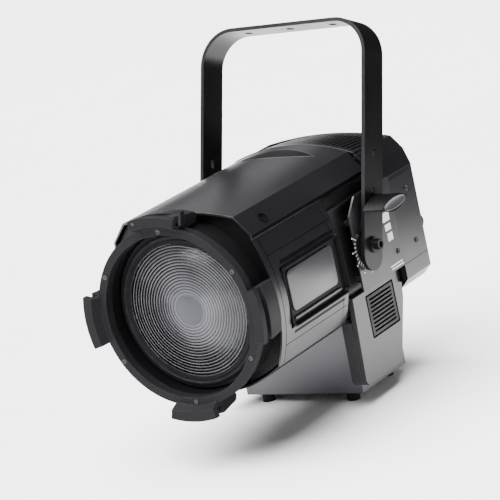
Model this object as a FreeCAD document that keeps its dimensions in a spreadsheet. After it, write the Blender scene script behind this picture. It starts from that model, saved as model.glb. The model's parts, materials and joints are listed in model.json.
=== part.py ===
"""Fresnel spotlight: an LED fresnel head hung in a flat-bar yoke.

Every piece is drawn about the tilt axis: x across the light, y from front to back, z up, with the
origin on the axis of the two pivot pins. Each body is then lifted onto the shared frame, whose origin is
on the floor under the middle of the light. The head is level; the yoke leans back by rest_lean.
"""
import FreeCAD, Part
import math
import os
from types import SimpleNamespace

import Sketcher

doc = FreeCAD.newDocument("fresnel_spotlight")

# ---------------------------------------------------------------------------------------------------
# Sizes, in millimetres and degrees
# ---------------------------------------------------------------------------------------------------

SIZES = {
    # stance
    "pivot_height": (228.0, "pivot axis above the floor"),
    "rest_lean": (22.1, "angle the yoke leans back from upright"),
    "rear_reach": (183.0, "pivot axis to the back of the rear knob"),
    "fit_gap": (0.05, "radial clearance of a pin that turns in a hole"),
    "loose_gap": (0.3, "clearance between pieces that are put together by hand"),
    # front ring and accessory lugs
    "ring_front": (307.5, "pivot axis to the front face of the ring"),
    "ring_thickness": (14.5, "front ring, front to back"),
    "ring_outer_radius": (131.5, "front ring"),
    "ring_inner_radius": (119.5, "clear opening of the front ring"),
    "ring_screw_radius": (125.2, "circle of the ring screws"),
    "lug_rise": (13.5, "accessory lug in front of the ring face"),
    "lug_lip": (9.0, "thickness of the lip in front of the groove"),
    "lug_groove": (12.0, "width of the accessory groove"),
    "lug_radius": (150.0, "outer radius of the lugs"),
    "groove_radius": (137.0, "radius of the bottom of the groove"),
    "lug_depth": (41.0, "lug behind the groove, front to back"),
    "lug_sweep": (30.0, "angle each lug covers"),
    "latch_pin_radius": (2.0, "hinge pin of the accessory latch"),
    "latch_height": (8.5, "latch bar"),
    # barrel, lens and zoom carriage
    "barrel_outer_radius": (124.0, "fixed barrel"),
    "barrel_rear": (205.0, "pivot axis to the rear end of the barrel"),
    "lens_radius": (110.0, "fresnel lens"),
    "lens_front": (276.0, "pivot axis to the tips of the lens steps"),
    "lens_thickness": (14.0, "lens, flat back to step tips"),
    "lens_step": (4.2, "height of one lens step"),
    "lens_rim": (3.0, "flat rim that the retaining ring holds"),
    "lens_dome_radius": (24.0, "smooth middle of the lens"),
    "lens_dome_rise": (4.4, "middle of the lens in front of the step tips"),
    "retainer_radius": (115.5, "lens retaining ring"),
    "tube_outer_radius": (117.5, "sliding lens tube"),
    "tube_wall": (3.6, "sliding lens tube"),
    "tube_length": (76.0, "sliding lens tube"),
    "carriage_plate": (4.0, "carriage plate thickness"),
    "rod_radius": (4.0, "guide rods and lead screw"),
    "rod_across": (108.0, "guide rods either side of the middle"),
    "rod_up": (72.0, "guide rods above and below the axis"),
    "motor_width": (20.0, "zoom motor, square body"),
    "motor_length": (20.0, "zoom motor"),
    # housing in front of the yoke
    "cover_front": (258.0, "pivot axis to the front edge of the covers"),
    "cover_rear": (72.0, "pivot axis to the rear edge of the side covers"),
    "cover_wall": (3.0, "moulded covers"),
    "cover_half_width": (118.0, "side covers at their top and bottom edges"),
    "cover_bulge": (20.0, "side covers, how far the middle stands out"),
    "cover_top": (92.0, "top edge of the side covers above the axis"),
    "cover_bottom": (93.0, "bottom edge of the side covers below the axis"),
    "pan_drop": (38.0, "curved pan below the bottom edge of the side covers"),
    "crease_across": (95.0, "crease of the top cover, either side of the middle"),
    "crease_up": (126.0, "crease of the top cover above the axis"),
    "dome_front": (11.0, "rise of the top cover over its creases, at the front"),
    "dome_rear": (17.0, "rise of the top cover over its creases, at the rear"),
    "dome_end": (60.0, "rear edge of the top cover behind the axis"),
    "window_length": (160.0, "side window frame"),
    "window_height": (88.0, "side window frame"),
    "window_middle": (152.0, "middle of the side window in front of the axis"),
    "window_face": (138.0, "outer face of the side window frame"),
    "window_border": (8.0, "border of the side window frame"),
    "window_corner": (10.0, "corner radius of the side window frame"),
    # rear housing
    "panel_half_width": (134.0, "side plates and rear side panels"),
    "rear_start": (92.0, "front edge of the rear side panels behind the axis"),
    "rear_plane": (165.0, "rear edge of the rear cover behind the axis"),
    "shoulder_up": (76.0, "top edge of the rear side panels"),
    "rear_crest": (131.0, "rear edge of the roof above the axis"),
    "grille_half_width": (105.0, "slatted roof"),
    "slat_pitch": (8.0, "slatted roof"),
    "slat_gap": (4.0, "slatted roof"),
    "underside": (98.0, "underside of the head below the axis"),
    # cooling and light engine
    "sink_front": (36.0, "front face of the heatsink in front of the axis"),
    "sink_length": (134.0, "heatsink, front to back"),
    "fin_pitch": (8.0, "heatsink fins"),
    "fin_thickness": (2.0, "heatsink fins"),
    "led_radius": (30.0, "light-emitting disc"),
    "fan_width": (120.0, "cooling fan frame"),
    "fan_depth": (25.0, "cooling fan frame"),
    "fan_up": (15.0, "fan axis above the tilt axis"),
    # base
    "base_half_width": (103.0, "base box"),
    "base_front": (42.0, "front of the base box in front of the axis"),
    "base_rear": (88.0, "rear of the base box behind the axis"),
    "base_bottom": (214.0, "bottom of the base plate below the axis"),
    "base_wall": (2.0, "base box and base plate"),
    "base_cover_face": (128.0, "outer face of the base side covers"),
    "vent_length": (76.0, "vent grille"),
    "vent_height": (60.0, "vent grille"),
    "foot_radius": (10.0, "rubber feet"),
    "foot_across": (75.0, "feet either side of the middle"),
    # chassis and pivots
    "chassis_face": (119.0, "outer face of the chassis plates"),
    "chassis_plate": (3.0, "chassis plates"),
    "pin_radius": (8.0, "pivot pins"),
    "pin_reach": (158.0, "outer end of the pivot pins from the middle"),
    # yoke
    "yoke_width": (291.4, "outside of the yoke arms"),
    "yoke_height": (335.0, "pivot axis to the top of the yoke"),
    "bar_width": (50.0, "yoke flat bar"),
    "bar_thickness": (5.7, "yoke flat bar"),
    "yoke_bend": (55.0, "outer bend radius of the yoke"),
    "arm_tail": (38.0, "yoke arm below the pivot axis"),
    "hang_hole_radius": (6.5, "hanging holes for an M12 bolt"),
    "hang_hole_spacing": (75.0, "hanging holes either side of the middle"),
    # tilt locks
    "lock_up": (59.5, "tilt lock above the pivot, along the arm"),
    "lock_stud_radius": (5.0, "tilt lock stud"),
    "wing_length": (73.0, "tilt lock wing"),
    "wing_thickness": (23.0, "tilt lock wing"),
    "wing_inner": (147.5, "inner face of the wing from the middle"),
    "wing_outer": (181.0, "outer face of the wing from the middle"),
}


class Dim:
    """A size that carries its number and the spreadsheet expression that gives it."""

    def __init__(self, value, text):
        self.value = value
        self.text = text

    def __add__(self, other):
        return joined(self, "+", other)

    def __radd__(self, other):
        return joined(other, "+", self)

    def __sub__(self, other):
        return joined(self, "-", other)

    def __rsub__(self, other):
        return joined(other, "-", self)

    def __mul__(self, other):
        return joined(self, "*", other)

    def __rmul__(self, other):
        return joined(other, "*", self)

    def __truediv__(self, other):
        return joined(self, "/", other)

    def __neg__(self):
        return joined(-1, "*", self)


def dim(item):
    """The item as a Dim; a plain number becomes a constant."""
    if isinstance(item, Dim):
        return item
    return Dim(float(item), f"({float(item)})")


def joined(left, sign, right):
    """Two sizes joined by + - * or /."""
    left = dim(left)
    right = dim(right)
    numbers = {
        "+": lambda a, b: a + b,
        "-": lambda a, b: a - b,
        "*": lambda a, b: a * b,
        "/": lambda a, b: a / b,
    }
    return Dim(numbers[sign](left.value, right.value), f"({left.text} {sign} {right.text})")


def sine(angle):
    """Sine of an angle in degrees."""
    return Dim(math.sin(math.radians(angle.value)), f"sin({angle.text} * 1 deg)")


def cosine(angle):
    """Cosine of an angle in degrees."""
    return Dim(math.cos(math.radians(angle.value)), f"cos({angle.text} * 1 deg)")


def magnitude(size):
    """The size without its sign."""
    return Dim(abs(size.value), f"abs({size.text})")


def make_sheet():
    """Write the driving sizes to the spreadsheet and hand back a namespace of Dims."""
    sheet = doc.addObject("Spreadsheet::Sheet", "Size")
    for row, (alias, (value, note)) in enumerate(SIZES.items(), start=1):
        sheet.set(f"A{row}", alias)
        sheet.set(f"B{row}", str(value))
        sheet.setAlias(f"B{row}", alias)
        sheet.set(f"C{row}", note)
    doc.recompute()
    return SimpleNamespace(**{alias: Dim(value, f"Size.{alias}") for alias, (value, _) in SIZES.items()})


S = make_sheet()

# sizes that follow from the driving ones
LUG_FRONT = S.ring_front + S.lug_rise
GROOVE_FRONT = LUG_FRONT - S.lug_lip
GROOVE_REAR = GROOVE_FRONT - S.lug_groove
PIVOT_Y = (LUG_FRONT - S.rear_reach) / 2
ARM_OUTER = S.yoke_width / 2
ARM_INNER = ARM_OUTER - S.bar_thickness
LENS_BACK = S.lens_front - S.lens_thickness
PLATE_FRONT = S.lens_front - S.tube_length
FRONT_BULKHEAD = S.cover_front - 12
MID_BULKHEAD = S.cover_rear + 25
LOCK_Y = S.lock_up * sine(S.rest_lean)
LOCK_Z = S.lock_up * cosine(S.rest_lean)

# ---------------------------------------------------------------------------------------------------
# Helpers
# ---------------------------------------------------------------------------------------------------

pieces = []
cuts = []


def new_body(name, x=0, y=0, z=0, lean=False):
    """A body for one sub-part, drawn about the tilt axis or about a point (x, y, z) from it."""
    piece = doc.addObject("PartDesign::Body", name)
    piece.Label = name
    piece.AllowCompound = True
    if lean:
        piece.Placement = FreeCAD.Placement(
            FreeCAD.Vector(), FreeCAD.Rotation(FreeCAD.Vector(1, 0, 0), -S.rest_lean.value)
        )
        piece.setExpression("Placement.Rotation.Angle", (-S.rest_lean).text)
        piece.setExpression("Placement.Rotation.Axis.x", "1")
    piece.setExpression("Placement.Base.x", dim(x).text)
    piece.setExpression("Placement.Base.y", (PIVOT_Y + y).text)
    piece.setExpression("Placement.Base.z", (S.pivot_height + z).text)
    pieces.append(piece)
    return piece


def circle(x, y, radius):
    """A round loop for a sketch."""
    return ("circle", dim(x), dim(y), dim(radius))


def rectangle(left, bottom, right, top):
    """A four-cornered loop for a sketch."""
    return [(left, bottom), (right, bottom), (right, top), (left, top)]


def mirrored(points):
    """A loop's right half, listed upwards, with its mirror image."""
    left = [(-dim(x), y) for x, y in reversed(points)]
    return list(points) + left


def sketch(piece, plane, level, *loops):
    """A sketch on one of the body's planes, level away from it along the plane's normal.

    The normals are +Z for XY, +X for YZ, and -Y (towards the front) for XZ. A loop is a circle or a
    list of points (x, y); a third entry makes the side that arrives at the point an arc that stands
    out by that much, to the right of the way it is drawn.
    """
    drawing = piece.newObject("Sketcher::SketchObject", piece.Name + "_outline")
    support = next(f for f in piece.Origin.OriginFeatures if f.Role == plane + "_Plane")
    drawing.AttachmentSupport = [(support, "")]
    drawing.MapMode = "FlatFace"
    drawing.setExpression("AttachmentOffset.Base.z", dim(level).text)
    for loop in loops:
        if isinstance(loop, tuple):
            draw_circle(drawing, *loop[1:])
        else:
            draw_loop(drawing, loop)
    return drawing


def bind(drawing, constraint, size):
    """Add a constraint to the sketch and bind it to a size."""
    index = drawing.addConstraint(constraint)
    drawing.setExpression(f"Constraints[{index}]", size.text)


def pin_point(drawing, geometry, vertex, x, y):
    """Hold one vertex of the sketch at (x, y) from the sketch's origin."""
    bind(drawing, Sketcher.Constraint("DistanceX", -1, 1, geometry, vertex, x.value), x)
    bind(drawing, Sketcher.Constraint("DistanceY", -1, 1, geometry, vertex, y.value), y)


def draw_circle(drawing, x, y, radius):
    """Add a bound circle to the sketch."""
    centre = FreeCAD.Vector(x.value, y.value, 0)
    ring = drawing.addGeometry(Part.Circle(centre, FreeCAD.Vector(0, 0, 1), radius.value), False)
    pin_point(drawing, ring, 3, x, y)
    bind(drawing, Sketcher.Constraint("Radius", ring, radius.value), radius)


def draw_loop(drawing, loop):
    """Add a closed loop of bound lines and arcs to the sketch."""
    corners = [(dim(point[0]), dim(point[1])) for point in loop]
    vectors = [FreeCAD.Vector(x.value, y.value, 0) for x, y in corners]
    sides = []
    for index, start in enumerate(vectors):
        after = (index + 1) % len(loop)
        end = vectors[after]
        if len(loop[after]) == 2:
            side = drawing.addGeometry(Part.LineSegment(start, end), False)
            sides.append((side, 1, 2))
            continue
        rise = dim(loop[after][2])
        along = end - start
        outward = FreeCAD.Vector(along.y, -along.x, 0).normalize()
        top = start + along / 2 + outward * rise.value
        side = drawing.addGeometry(Part.Arc(start, top, end), False)
        forward = drawing.getPoint(side, 1).distanceToPoint(start) < 1e-6
        sides.append((side, 1, 2) if forward else (side, 2, 1))
        across = corners[after][0] - corners[index][0]
        up = corners[after][1] - corners[index][1]
        chord_squared = across * across + up * up
        radius = magnitude((chord_squared / 4 + rise * rise) / (2 * rise))
        bind(drawing, Sketcher.Constraint("Radius", side, radius.value), radius)
    for index, (side, first, last) in enumerate(sides):
        following, following_first, _ = sides[(index + 1) % len(sides)]
        drawing.addConstraint(Sketcher.Constraint("Coincident", side, last, following, following_first))
        pin_point(drawing, side, first, *corners[index])


def pad(piece, drawing, length, both_ways=False):
    """Add material from the sketch along its plane's normal."""
    feature = piece.newObject("PartDesign::Pad", piece.Name + "_pad")
    feature.Profile = drawing
    feature.Midplane = both_ways
    feature.setExpression("Length", dim(length).text)
    return feature


def cut(piece, drawing, length, both_ways=False):
    """Take material away from the sketch along its plane's normal."""
    feature = piece.newObject("PartDesign::Pocket", piece.Name + "_cut")
    feature.Profile = drawing
    feature.Midplane = both_ways
    feature.Reversed = not both_ways
    feature.setExpression("Length", dim(length).text)
    cuts.append(feature)
    return feature


def revolve(piece, drawing, axis="H_Axis", angle=360):
    """Turn the sketch about one of its own axes, half of the angle to each side."""
    feature = piece.newObject("PartDesign::Revolution", piece.Name + "_turn")
    feature.Profile = drawing
    feature.ReferenceAxis = (drawing, [axis])
    feature.Midplane = True
    feature.setExpression("Angle", dim(angle).text)
    return feature


def loft(piece, first, second, subtract=False):
    """Join two sketches by a straight-sided skin, adding or taking away material."""
    kind = "PartDesign::SubtractiveLoft" if subtract else "PartDesign::AdditiveLoft"
    feature = piece.newObject(kind, piece.Name + "_loft")
    feature.Profile = first
    feature.Sections = [(second, [""])]
    feature.Ruled = True
    if subtract:
        cuts.append(feature)
    return feature


def around(piece, feature, drawing, count, axis="N_Axis", angle=360):
    """Repeat a feature evenly round one of its sketch's axes."""
    pattern = piece.newObject("PartDesign::PolarPattern", piece.Name + "_ring")
    pattern.Originals = [feature]
    pattern.Axis = (drawing, [axis])
    pattern.Angle = angle
    pattern.Occurrences = count
    piece.Tip = pattern
    return pattern


def along(piece, feature, drawing, count, length, axis="H_Axis"):
    """Repeat a feature evenly along one of its sketch's axes."""
    pattern = piece.newObject("PartDesign::LinearPattern", piece.Name + "_row")
    pattern.Originals = [feature]
    pattern.Direction = (drawing, [axis])
    pattern.setExpression("Length", dim(length).text)
    pattern.Occurrences = count
    piece.Tip = pattern
    return pattern


def fillet(piece, base, radius, wanted):
    """Round every edge of the feature that passes the test wanted(edge)."""
    doc.recompute()
    names = [f"Edge{i}" for i, edge in enumerate(base.Shape.Edges, start=1) if wanted(edge)]
    feature = piece.newObject("PartDesign::Fillet", piece.Name + "_round")
    feature.Base = (base, names)
    feature.setExpression("Radius", dim(radius).text)
    piece.Tip = feature
    return feature


def runs_along(edge, direction):
    """True for a straight edge along x, y or z."""
    box = edge.BoundBox
    spans = {"x": box.XLength, "y": box.YLength, "z": box.ZLength}
    across = [span for name, span in spans.items() if name != direction]
    return edge.Curve.TypeId == "Part::GeomLine" and max(across) < 1e-4


def sided(side, left_name, right_name):
    """The name for the light's left (+x) or right (-x) side."""
    return left_name if side > 0 else right_name


def slab(side, inner, outer):
    """Level and length of a pad on a YZ sketch between two distances from the middle."""
    inner = dim(inner)
    outer = dim(outer)
    level = inner if side > 0 else -outer
    return level, outer - inner


# ---------------------------------------------------------------------------------------------------
# Front ring, accessory lugs and latch
# ---------------------------------------------------------------------------------------------------

LATCH_X = dim(30)
LATCH_Z = S.groove_radius + S.latch_height / 2 + S.loose_gap


def screw_places():
    """Centres of the six ring screws, seen from the front."""
    turns = [dim(30 + 60 * index) for index in range(6)]
    return [(S.ring_screw_radius * cosine(turn), S.ring_screw_radius * sine(turn)) for turn in turns]


def front_ring():
    """Cast ring with four grooved lugs that barn doors and frames clip over."""
    piece = new_body("front_ring")
    rear = S.ring_front - S.ring_thickness
    face = sketch(piece, "XZ", rear, circle(0, 0, S.ring_outer_radius), circle(0, 0, S.ring_inner_radius))
    pad(piece, face, S.ring_thickness)
    root = S.barrel_outer_radius + 3
    lug_rear = S.lug_depth - GROOVE_REAR
    lug = sketch(piece, "YZ", 0, [
        (-S.ring_front, root),
        (-S.ring_front, S.ring_screw_radius + 4),
        (-LUG_FRONT, S.groove_radius - 1),
        (-LUG_FRONT, S.lug_radius),
        (-GROOVE_FRONT, S.lug_radius),
        (-GROOVE_FRONT, S.groove_radius),
        (-GROOVE_REAR, S.groove_radius),
        (-GROOVE_REAR, S.lug_radius - 1),
        (lug_rear - 6, S.lug_radius - 6),
        (lug_rear, S.lug_radius - 12),
        (lug_rear, root),
    ])
    around(piece, revolve(piece, lug, angle=S.lug_sweep), lug, 4, axis="H_Axis")
    screws = [circle(x, z, 2.1) for x, z in screw_places()]
    cut(piece, sketch(piece, "XZ", rear - 1, *screws), S.ring_thickness + 2)
    pin_hole = circle(-LATCH_X, LATCH_Z, S.latch_pin_radius)
    cut(piece, sketch(piece, "XZ", GROOVE_REAR - 8, pin_hole), LUG_FRONT - GROOVE_REAR + 9)


def ring_screws():
    """Six small socket screws that hold the ring to the barrel."""
    piece = new_body("ring_screws")
    places = screw_places()
    shanks = sketch(piece, "XZ", S.ring_front - 12, *[circle(x, z, 2) for x, z in places])
    pad(piece, shanks, 12)
    heads = sketch(piece, "XZ", S.ring_front, *[circle(x, z, 3.6) for x, z in places])
    pad(piece, heads, 1)
    sockets = sketch(piece, "XZ", S.ring_front - 1, *[circle(x, z, 1.3) for x, z in places])
    cut(piece, sockets, 3)


def accessory_latch():
    """Bar that lies in the groove of the top lug, with a finger tab past the lug's end."""
    piece = new_body("accessory_latch")
    low = LATCH_Z - S.latch_height / 2
    high = LATCH_Z + S.latch_height / 2
    free_end = S.lug_radius * sine(S.lug_sweep / 2) + 1.5
    bar = sketch(piece, "XZ", GROOVE_REAR + S.loose_gap, [
        (-LATCH_X, low),
        (free_end, low),
        (free_end, low - 4),
        (free_end + 3, low - 4),
        (free_end + 6, high - 2),
        (free_end + 6, high + 6),
        (free_end - 1, high + 1),
        (-LATCH_X, high),
        (-LATCH_X - S.latch_height / 2, LATCH_Z),
    ])
    pad(piece, bar, S.lug_groove - 2 * S.loose_gap)
    hole = circle(-LATCH_X, LATCH_Z, S.latch_pin_radius + S.fit_gap)
    cut(piece, sketch(piece, "XZ", GROOVE_REAR - 1, hole), S.lug_groove + 2)


def latch_pin():
    """Pin that the latch swings on, held in the lip and the back of the top lug."""
    piece = new_body("latch_pin")
    outline = sketch(piece, "XZ", GROOVE_REAR - 6, circle(-LATCH_X, LATCH_Z, S.latch_pin_radius))
    pad(piece, outline, LUG_FRONT - GROOVE_REAR + 6)


# ---------------------------------------------------------------------------------------------------
# Barrel, lens and zoom carriage
# ---------------------------------------------------------------------------------------------------


def front_barrel():
    """Fixed black tube behind the ring, which the lens tube slides in."""
    piece = new_body("front_barrel")
    walls = [circle(0, 0, S.barrel_outer_radius), circle(0, 0, S.ring_inner_radius)]
    pad(piece, sketch(piece, "XZ", S.barrel_rear, *walls), S.ring_front - S.ring_thickness - S.barrel_rear)
    holes = [circle(x, z, 2.1) for x, z in screw_places()]
    cut(piece, sketch(piece, "XZ", S.ring_front - S.ring_thickness - 6, *holes), 8)


def rod_places():
    """Guide rods at three corners; the fourth corner holds the lead screw."""
    return [(S.rod_across, S.rod_up), (-S.rod_across, S.rod_up), (S.rod_across, -S.rod_up)]


def lens():
    """Fresnel lens: a flat back, a ring of steps for each prism and a smooth domed middle."""
    piece = new_body("lens")
    rings = 12
    pitch = (S.lens_radius - S.lens_rim - S.lens_dome_radius) / rings
    face = -S.lens_front
    points = [(-LENS_BACK, 0), (face - S.lens_dome_rise, 0), (face + 1, S.lens_dome_radius)]
    for ring in range(rings):
        inner = S.lens_dome_radius + pitch * ring
        points.append((face, inner + 0.3))
        points.append((face + S.lens_step, inner + pitch))
    points.append((face + S.lens_step, S.lens_radius))
    points.append((-LENS_BACK, S.lens_radius))
    outline = sketch(piece, "YZ", 0, points)
    revolve(piece, outline)


def lens_retainer():
    """Thin ring on the front of the lens tube that traps the lens."""
    piece = new_body("lens_retainer")
    level = LENS_BACK + S.lens_thickness - S.lens_step + S.loose_gap
    walls = [circle(0, 0, S.retainer_radius), circle(0, 0, S.lens_radius - S.lens_rim + 1)]
    pad(piece, sketch(piece, "XZ", level, *walls), 2.5)


def lens_tube():
    """Tube that carries the lens and slides inside the barrel."""
    piece = new_body("lens_tube")
    front = LENS_BACK + S.lens_thickness - S.lens_step + S.loose_gap
    inner = S.tube_outer_radius - S.tube_wall
    walls = [circle(0, 0, S.tube_outer_radius), circle(0, 0, inner)]
    pad(piece, sketch(piece, "XZ", PLATE_FRONT, *walls), front - PLATE_FRONT)
    seat = [circle(0, 0, inner + 1), circle(0, 0, S.lens_radius - 4)]
    pad(piece, sketch(piece, "XZ", LENS_BACK - 3, *seat), 3)


def carriage_plate():
    """Plate on the back of the lens tube with a sleeve on each guide rod and the screw nut."""
    piece = new_body("carriage_plate")
    corner_x = S.rod_across + 8
    corner_z = S.rod_up + 8
    level = PLATE_FRONT - S.carriage_plate
    crown = S.tube_outer_radius + 2
    right_side = [
        (52, -crown),
        (corner_x, -corner_z),
        (corner_x + 8, 0),
        (corner_x, corner_z),
        (52, crown),
    ]
    opening = circle(0, 0, S.tube_outer_radius - S.tube_wall)
    pad(piece, sketch(piece, "XZ", level, mirrored(right_side), opening), S.carriage_plate)
    sleeves = [circle(x, z, S.rod_radius + 2.4) for x, z in rod_places()]
    sleeves.append(circle(-S.rod_across, -S.rod_up, S.rod_radius + 2.4))
    pad(piece, sketch(piece, "XZ", level - 14, *sleeves), 14 + S.carriage_plate)
    bores = [circle(x, z, S.rod_radius + S.fit_gap) for x, z in rod_places()]
    bores.append(circle(-S.rod_across, -S.rod_up, S.rod_radius + S.fit_gap))
    cut(piece, sketch(piece, "XZ", level - 15, *bores), 17 + S.carriage_plate)


def guide_rods():
    """Three steel rods from the front bulkhead to the middle one."""
    piece = new_body("guide_rods")
    rods = [circle(x, z, S.rod_radius) for x, z in rod_places()]
    pad(piece, sketch(piece, "XZ", MID_BULKHEAD, *rods), FRONT_BULKHEAD - MID_BULKHEAD)


def lead_screw():
    """Screw that drives the carriage, turned by the zoom motor."""
    piece = new_body("lead_screw")
    level = MID_BULKHEAD - S.cover_wall - 1
    outline = sketch(piece, "XZ", level, circle(-S.rod_across, -S.rod_up, S.rod_radius))
    pad(piece, outline, FRONT_BULKHEAD - level - 1)


def zoom_motor():
    """Stepper motor behind the middle bulkhead."""
    piece = new_body("zoom_motor")
    half = S.motor_width / 2
    body = rectangle(-S.rod_across - half, -S.rod_up - half, half - S.rod_across, half - S.rod_up)
    level = MID_BULKHEAD - S.cover_wall - S.motor_length - 1
    pad(piece, sketch(piece, "XZ", level, body), S.motor_length)


def housing_outline(inset, dome):
    """Cross-section of the front housing, drawn upwards on the right and back down on the left."""
    edge = S.cover_half_width - inset
    crease_x = S.crease_across - inset / 2
    crease_z = S.crease_up - inset
    return [
        (edge, inset - S.cover_bottom, S.pan_drop - 1),
        (edge, S.cover_top, S.cover_bulge - 1),
        (edge, S.cover_top + 4),
        (crease_x, crease_z),
        (-crease_x, crease_z, dome),
        (-edge, S.cover_top + 4),
        (-edge, S.cover_top),
        (-edge, inset - S.cover_bottom, S.cover_bulge - 1),
    ]


def bulkhead(name, level, opening, inset):
    """Pressed plate across the front housing that holds the guide rods."""
    piece = new_body(name)
    outline = housing_outline(inset, S.dome_front - 1)
    pad(piece, sketch(piece, "XZ", level, outline, circle(0, 0, opening)), S.cover_wall)
    return piece


def bulkheads():
    """Front bulkhead round the barrel and middle bulkhead round the light path."""
    hole = S.barrel_outer_radius + S.fit_gap
    bulkhead("front_bulkhead", FRONT_BULKHEAD, hole, S.cover_wall + 1)
    inset = S.cover_half_width + S.cover_bulge - S.panel_half_width + 5
    middle = bulkhead("mid_bulkhead", MID_BULKHEAD - S.cover_wall, dim(72), inset)
    hole = circle(-S.rod_across, -S.rod_up, S.rod_radius + 1)
    cut(middle, sketch(middle, "XZ", MID_BULKHEAD - S.cover_wall - 1, hole), S.cover_wall + 2)


# ---------------------------------------------------------------------------------------------------
# Front housing
# ---------------------------------------------------------------------------------------------------


def top_section(dome, inset):
    """Cross-section of the top cover: facet, crease and dome, closed along the covers' top edge."""
    edge = S.cover_half_width - inset
    crease_x = S.crease_across - inset / 2
    crease_z = S.crease_up - inset
    low = S.cover_top + S.loose_gap
    if inset:
        low = low - 1
    return [
        (edge, low),
        (edge, S.cover_top + 6),
        (crease_x, crease_z),
        (-crease_x, crease_z, dome),
        (-edge, S.cover_top + 6),
        (-edge, low),
    ]


def top_cover():
    """Moulded roof of the front housing; its dome rises towards the back."""
    piece = new_body("top_cover")
    front = sketch(piece, "XZ", S.cover_front, top_section(S.dome_front, 0))
    rear = sketch(piece, "XZ", -S.dome_end, top_section(S.dome_rear, 0))
    loft(piece, front, rear)
    front = sketch(piece, "XZ", S.cover_front + 1, top_section(S.dome_front, S.cover_wall))
    rear = sketch(piece, "XZ", -S.dome_end - 1, top_section(S.dome_rear, S.cover_wall))
    loft(piece, front, rear, subtract=True)


def side_cover(side):
    """Bulged side moulding with an opening for the window frame."""
    piece = new_body(sided(side, "left_side_cover", "right_side_cover"))
    outer = S.cover_half_width
    inner = S.cover_half_width - S.cover_wall
    bulge = S.cover_bulge
    section = [
        (side * outer, -S.cover_bottom),
        (side * outer, S.cover_top, side * bulge),
        (side * inner, S.cover_top),
        (side * inner, -S.cover_bottom, side * -bulge),
    ]
    pad(piece, sketch(piece, "XZ", S.cover_rear, section), S.cover_front - S.cover_rear)
    level, depth = slab(side, S.cover_half_width, S.window_face + 5)
    cut(piece, sketch(piece, "YZ", level, window_outline(S.loose_gap)), depth)


def window_outline(grow):
    """Rectangle of the side window, in y and z."""
    half = S.window_length / 2 + grow
    up = S.window_height / 2 + grow
    middle = -S.window_middle
    return rectangle(middle - half, -up - 3, middle + half, up - 3)


def window_frame(side):
    """Black rounded frame set into the side cover."""
    piece = new_body(sided(side, "left_window_frame", "right_window_frame"))
    level, depth = slab(side, S.panel_half_width - 4, S.window_face)
    base = pad(piece, sketch(piece, "YZ", level, window_outline(0)), depth)
    fillet(piece, base, S.window_corner, lambda edge: runs_along(edge, "x"))
    level, depth = slab(side, S.panel_half_width - 1, S.window_face + 1)
    cut(piece, sketch(piece, "YZ", level, window_outline(-S.window_border)), depth)


def window_plate(side):
    """Pale plate at the bottom of the window frame."""
    piece = new_body(sided(side, "left_window_plate", "right_window_plate"))
    level, depth = slab(side, S.panel_half_width - 1, S.panel_half_width + 1)
    pad(piece, sketch(piece, "YZ", level, window_outline(-S.window_border - S.loose_gap)), depth)


def bottom_cover():
    """Curved pan under the barrel, and the flat deck behind it that the base hangs from."""
    piece = new_body("bottom_cover")
    half = S.cover_half_width - 1
    top = -S.cover_bottom - S.loose_gap
    pan = [
        (-half, top),
        (half, top, S.pan_drop),
        (half - S.cover_wall, top),
        (S.cover_wall - half, top, S.cover_wall - S.pan_drop),
    ]
    pad(piece, sketch(piece, "XZ", S.cover_rear, pan), S.cover_front - S.cover_rear)
    end_wall = [(-half, top, -S.pan_drop), (half, top)]
    pad(piece, sketch(piece, "XZ", S.cover_rear, end_wall), S.cover_wall)
    deck = rectangle(-half, -S.cover_rear - 1, half, S.rear_start - S.loose_gap)
    pad(piece, sketch(piece, "XY", -S.underside, deck), S.underside + top)


# ---------------------------------------------------------------------------------------------------
# Rear housing
# ---------------------------------------------------------------------------------------------------


def rear_section(inset):
    """Cross-section of the rear cover: panel, shoulder, arched roof and chamfered underside."""
    edge = S.panel_half_width - inset
    roof_x = S.grille_half_width + 4 - inset / 2
    roof_z = S.rear_crest - 11 - inset
    floor_z = inset - S.underside
    return [
        (edge - 14, floor_z),
        (edge, floor_z + 14),
        (edge, S.shoulder_up),
        (edge - 8, roof_z - 20),
        (roof_x, roof_z),
        (-roof_x, roof_z, 11),
        (8 - edge, roof_z - 20),
        (-edge, S.shoulder_up),
        (-edge, floor_z + 14),
        (14 - edge, floor_z),
    ]


def rear_cover():
    """Sleeve round the back of the head, open in front for the side plates and above for the slats."""
    piece = new_body("rear_cover")
    front = S.dome_end + S.loose_gap
    length = S.rear_plane - front
    walls = [rear_section(dim(0)), rear_section(S.cover_wall)]
    pad(piece, sketch(piece, "XZ", -S.rear_plane, *walls), length)
    wide = S.panel_half_width + 5
    front_notch = rectangle(-wide, -S.underside - 5, wide, S.shoulder_up)
    cut(piece, sketch(piece, "XZ", -S.rear_start, front_notch), S.rear_start - front + 1)
    half = S.grille_half_width + S.loose_gap
    roof_opening = rectangle(-half, front - 1, half, S.rear_plane - 8 + S.loose_gap)
    cut(piece, sketch(piece, "XY", S.shoulder_up + 20, roof_opening), 80)


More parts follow.
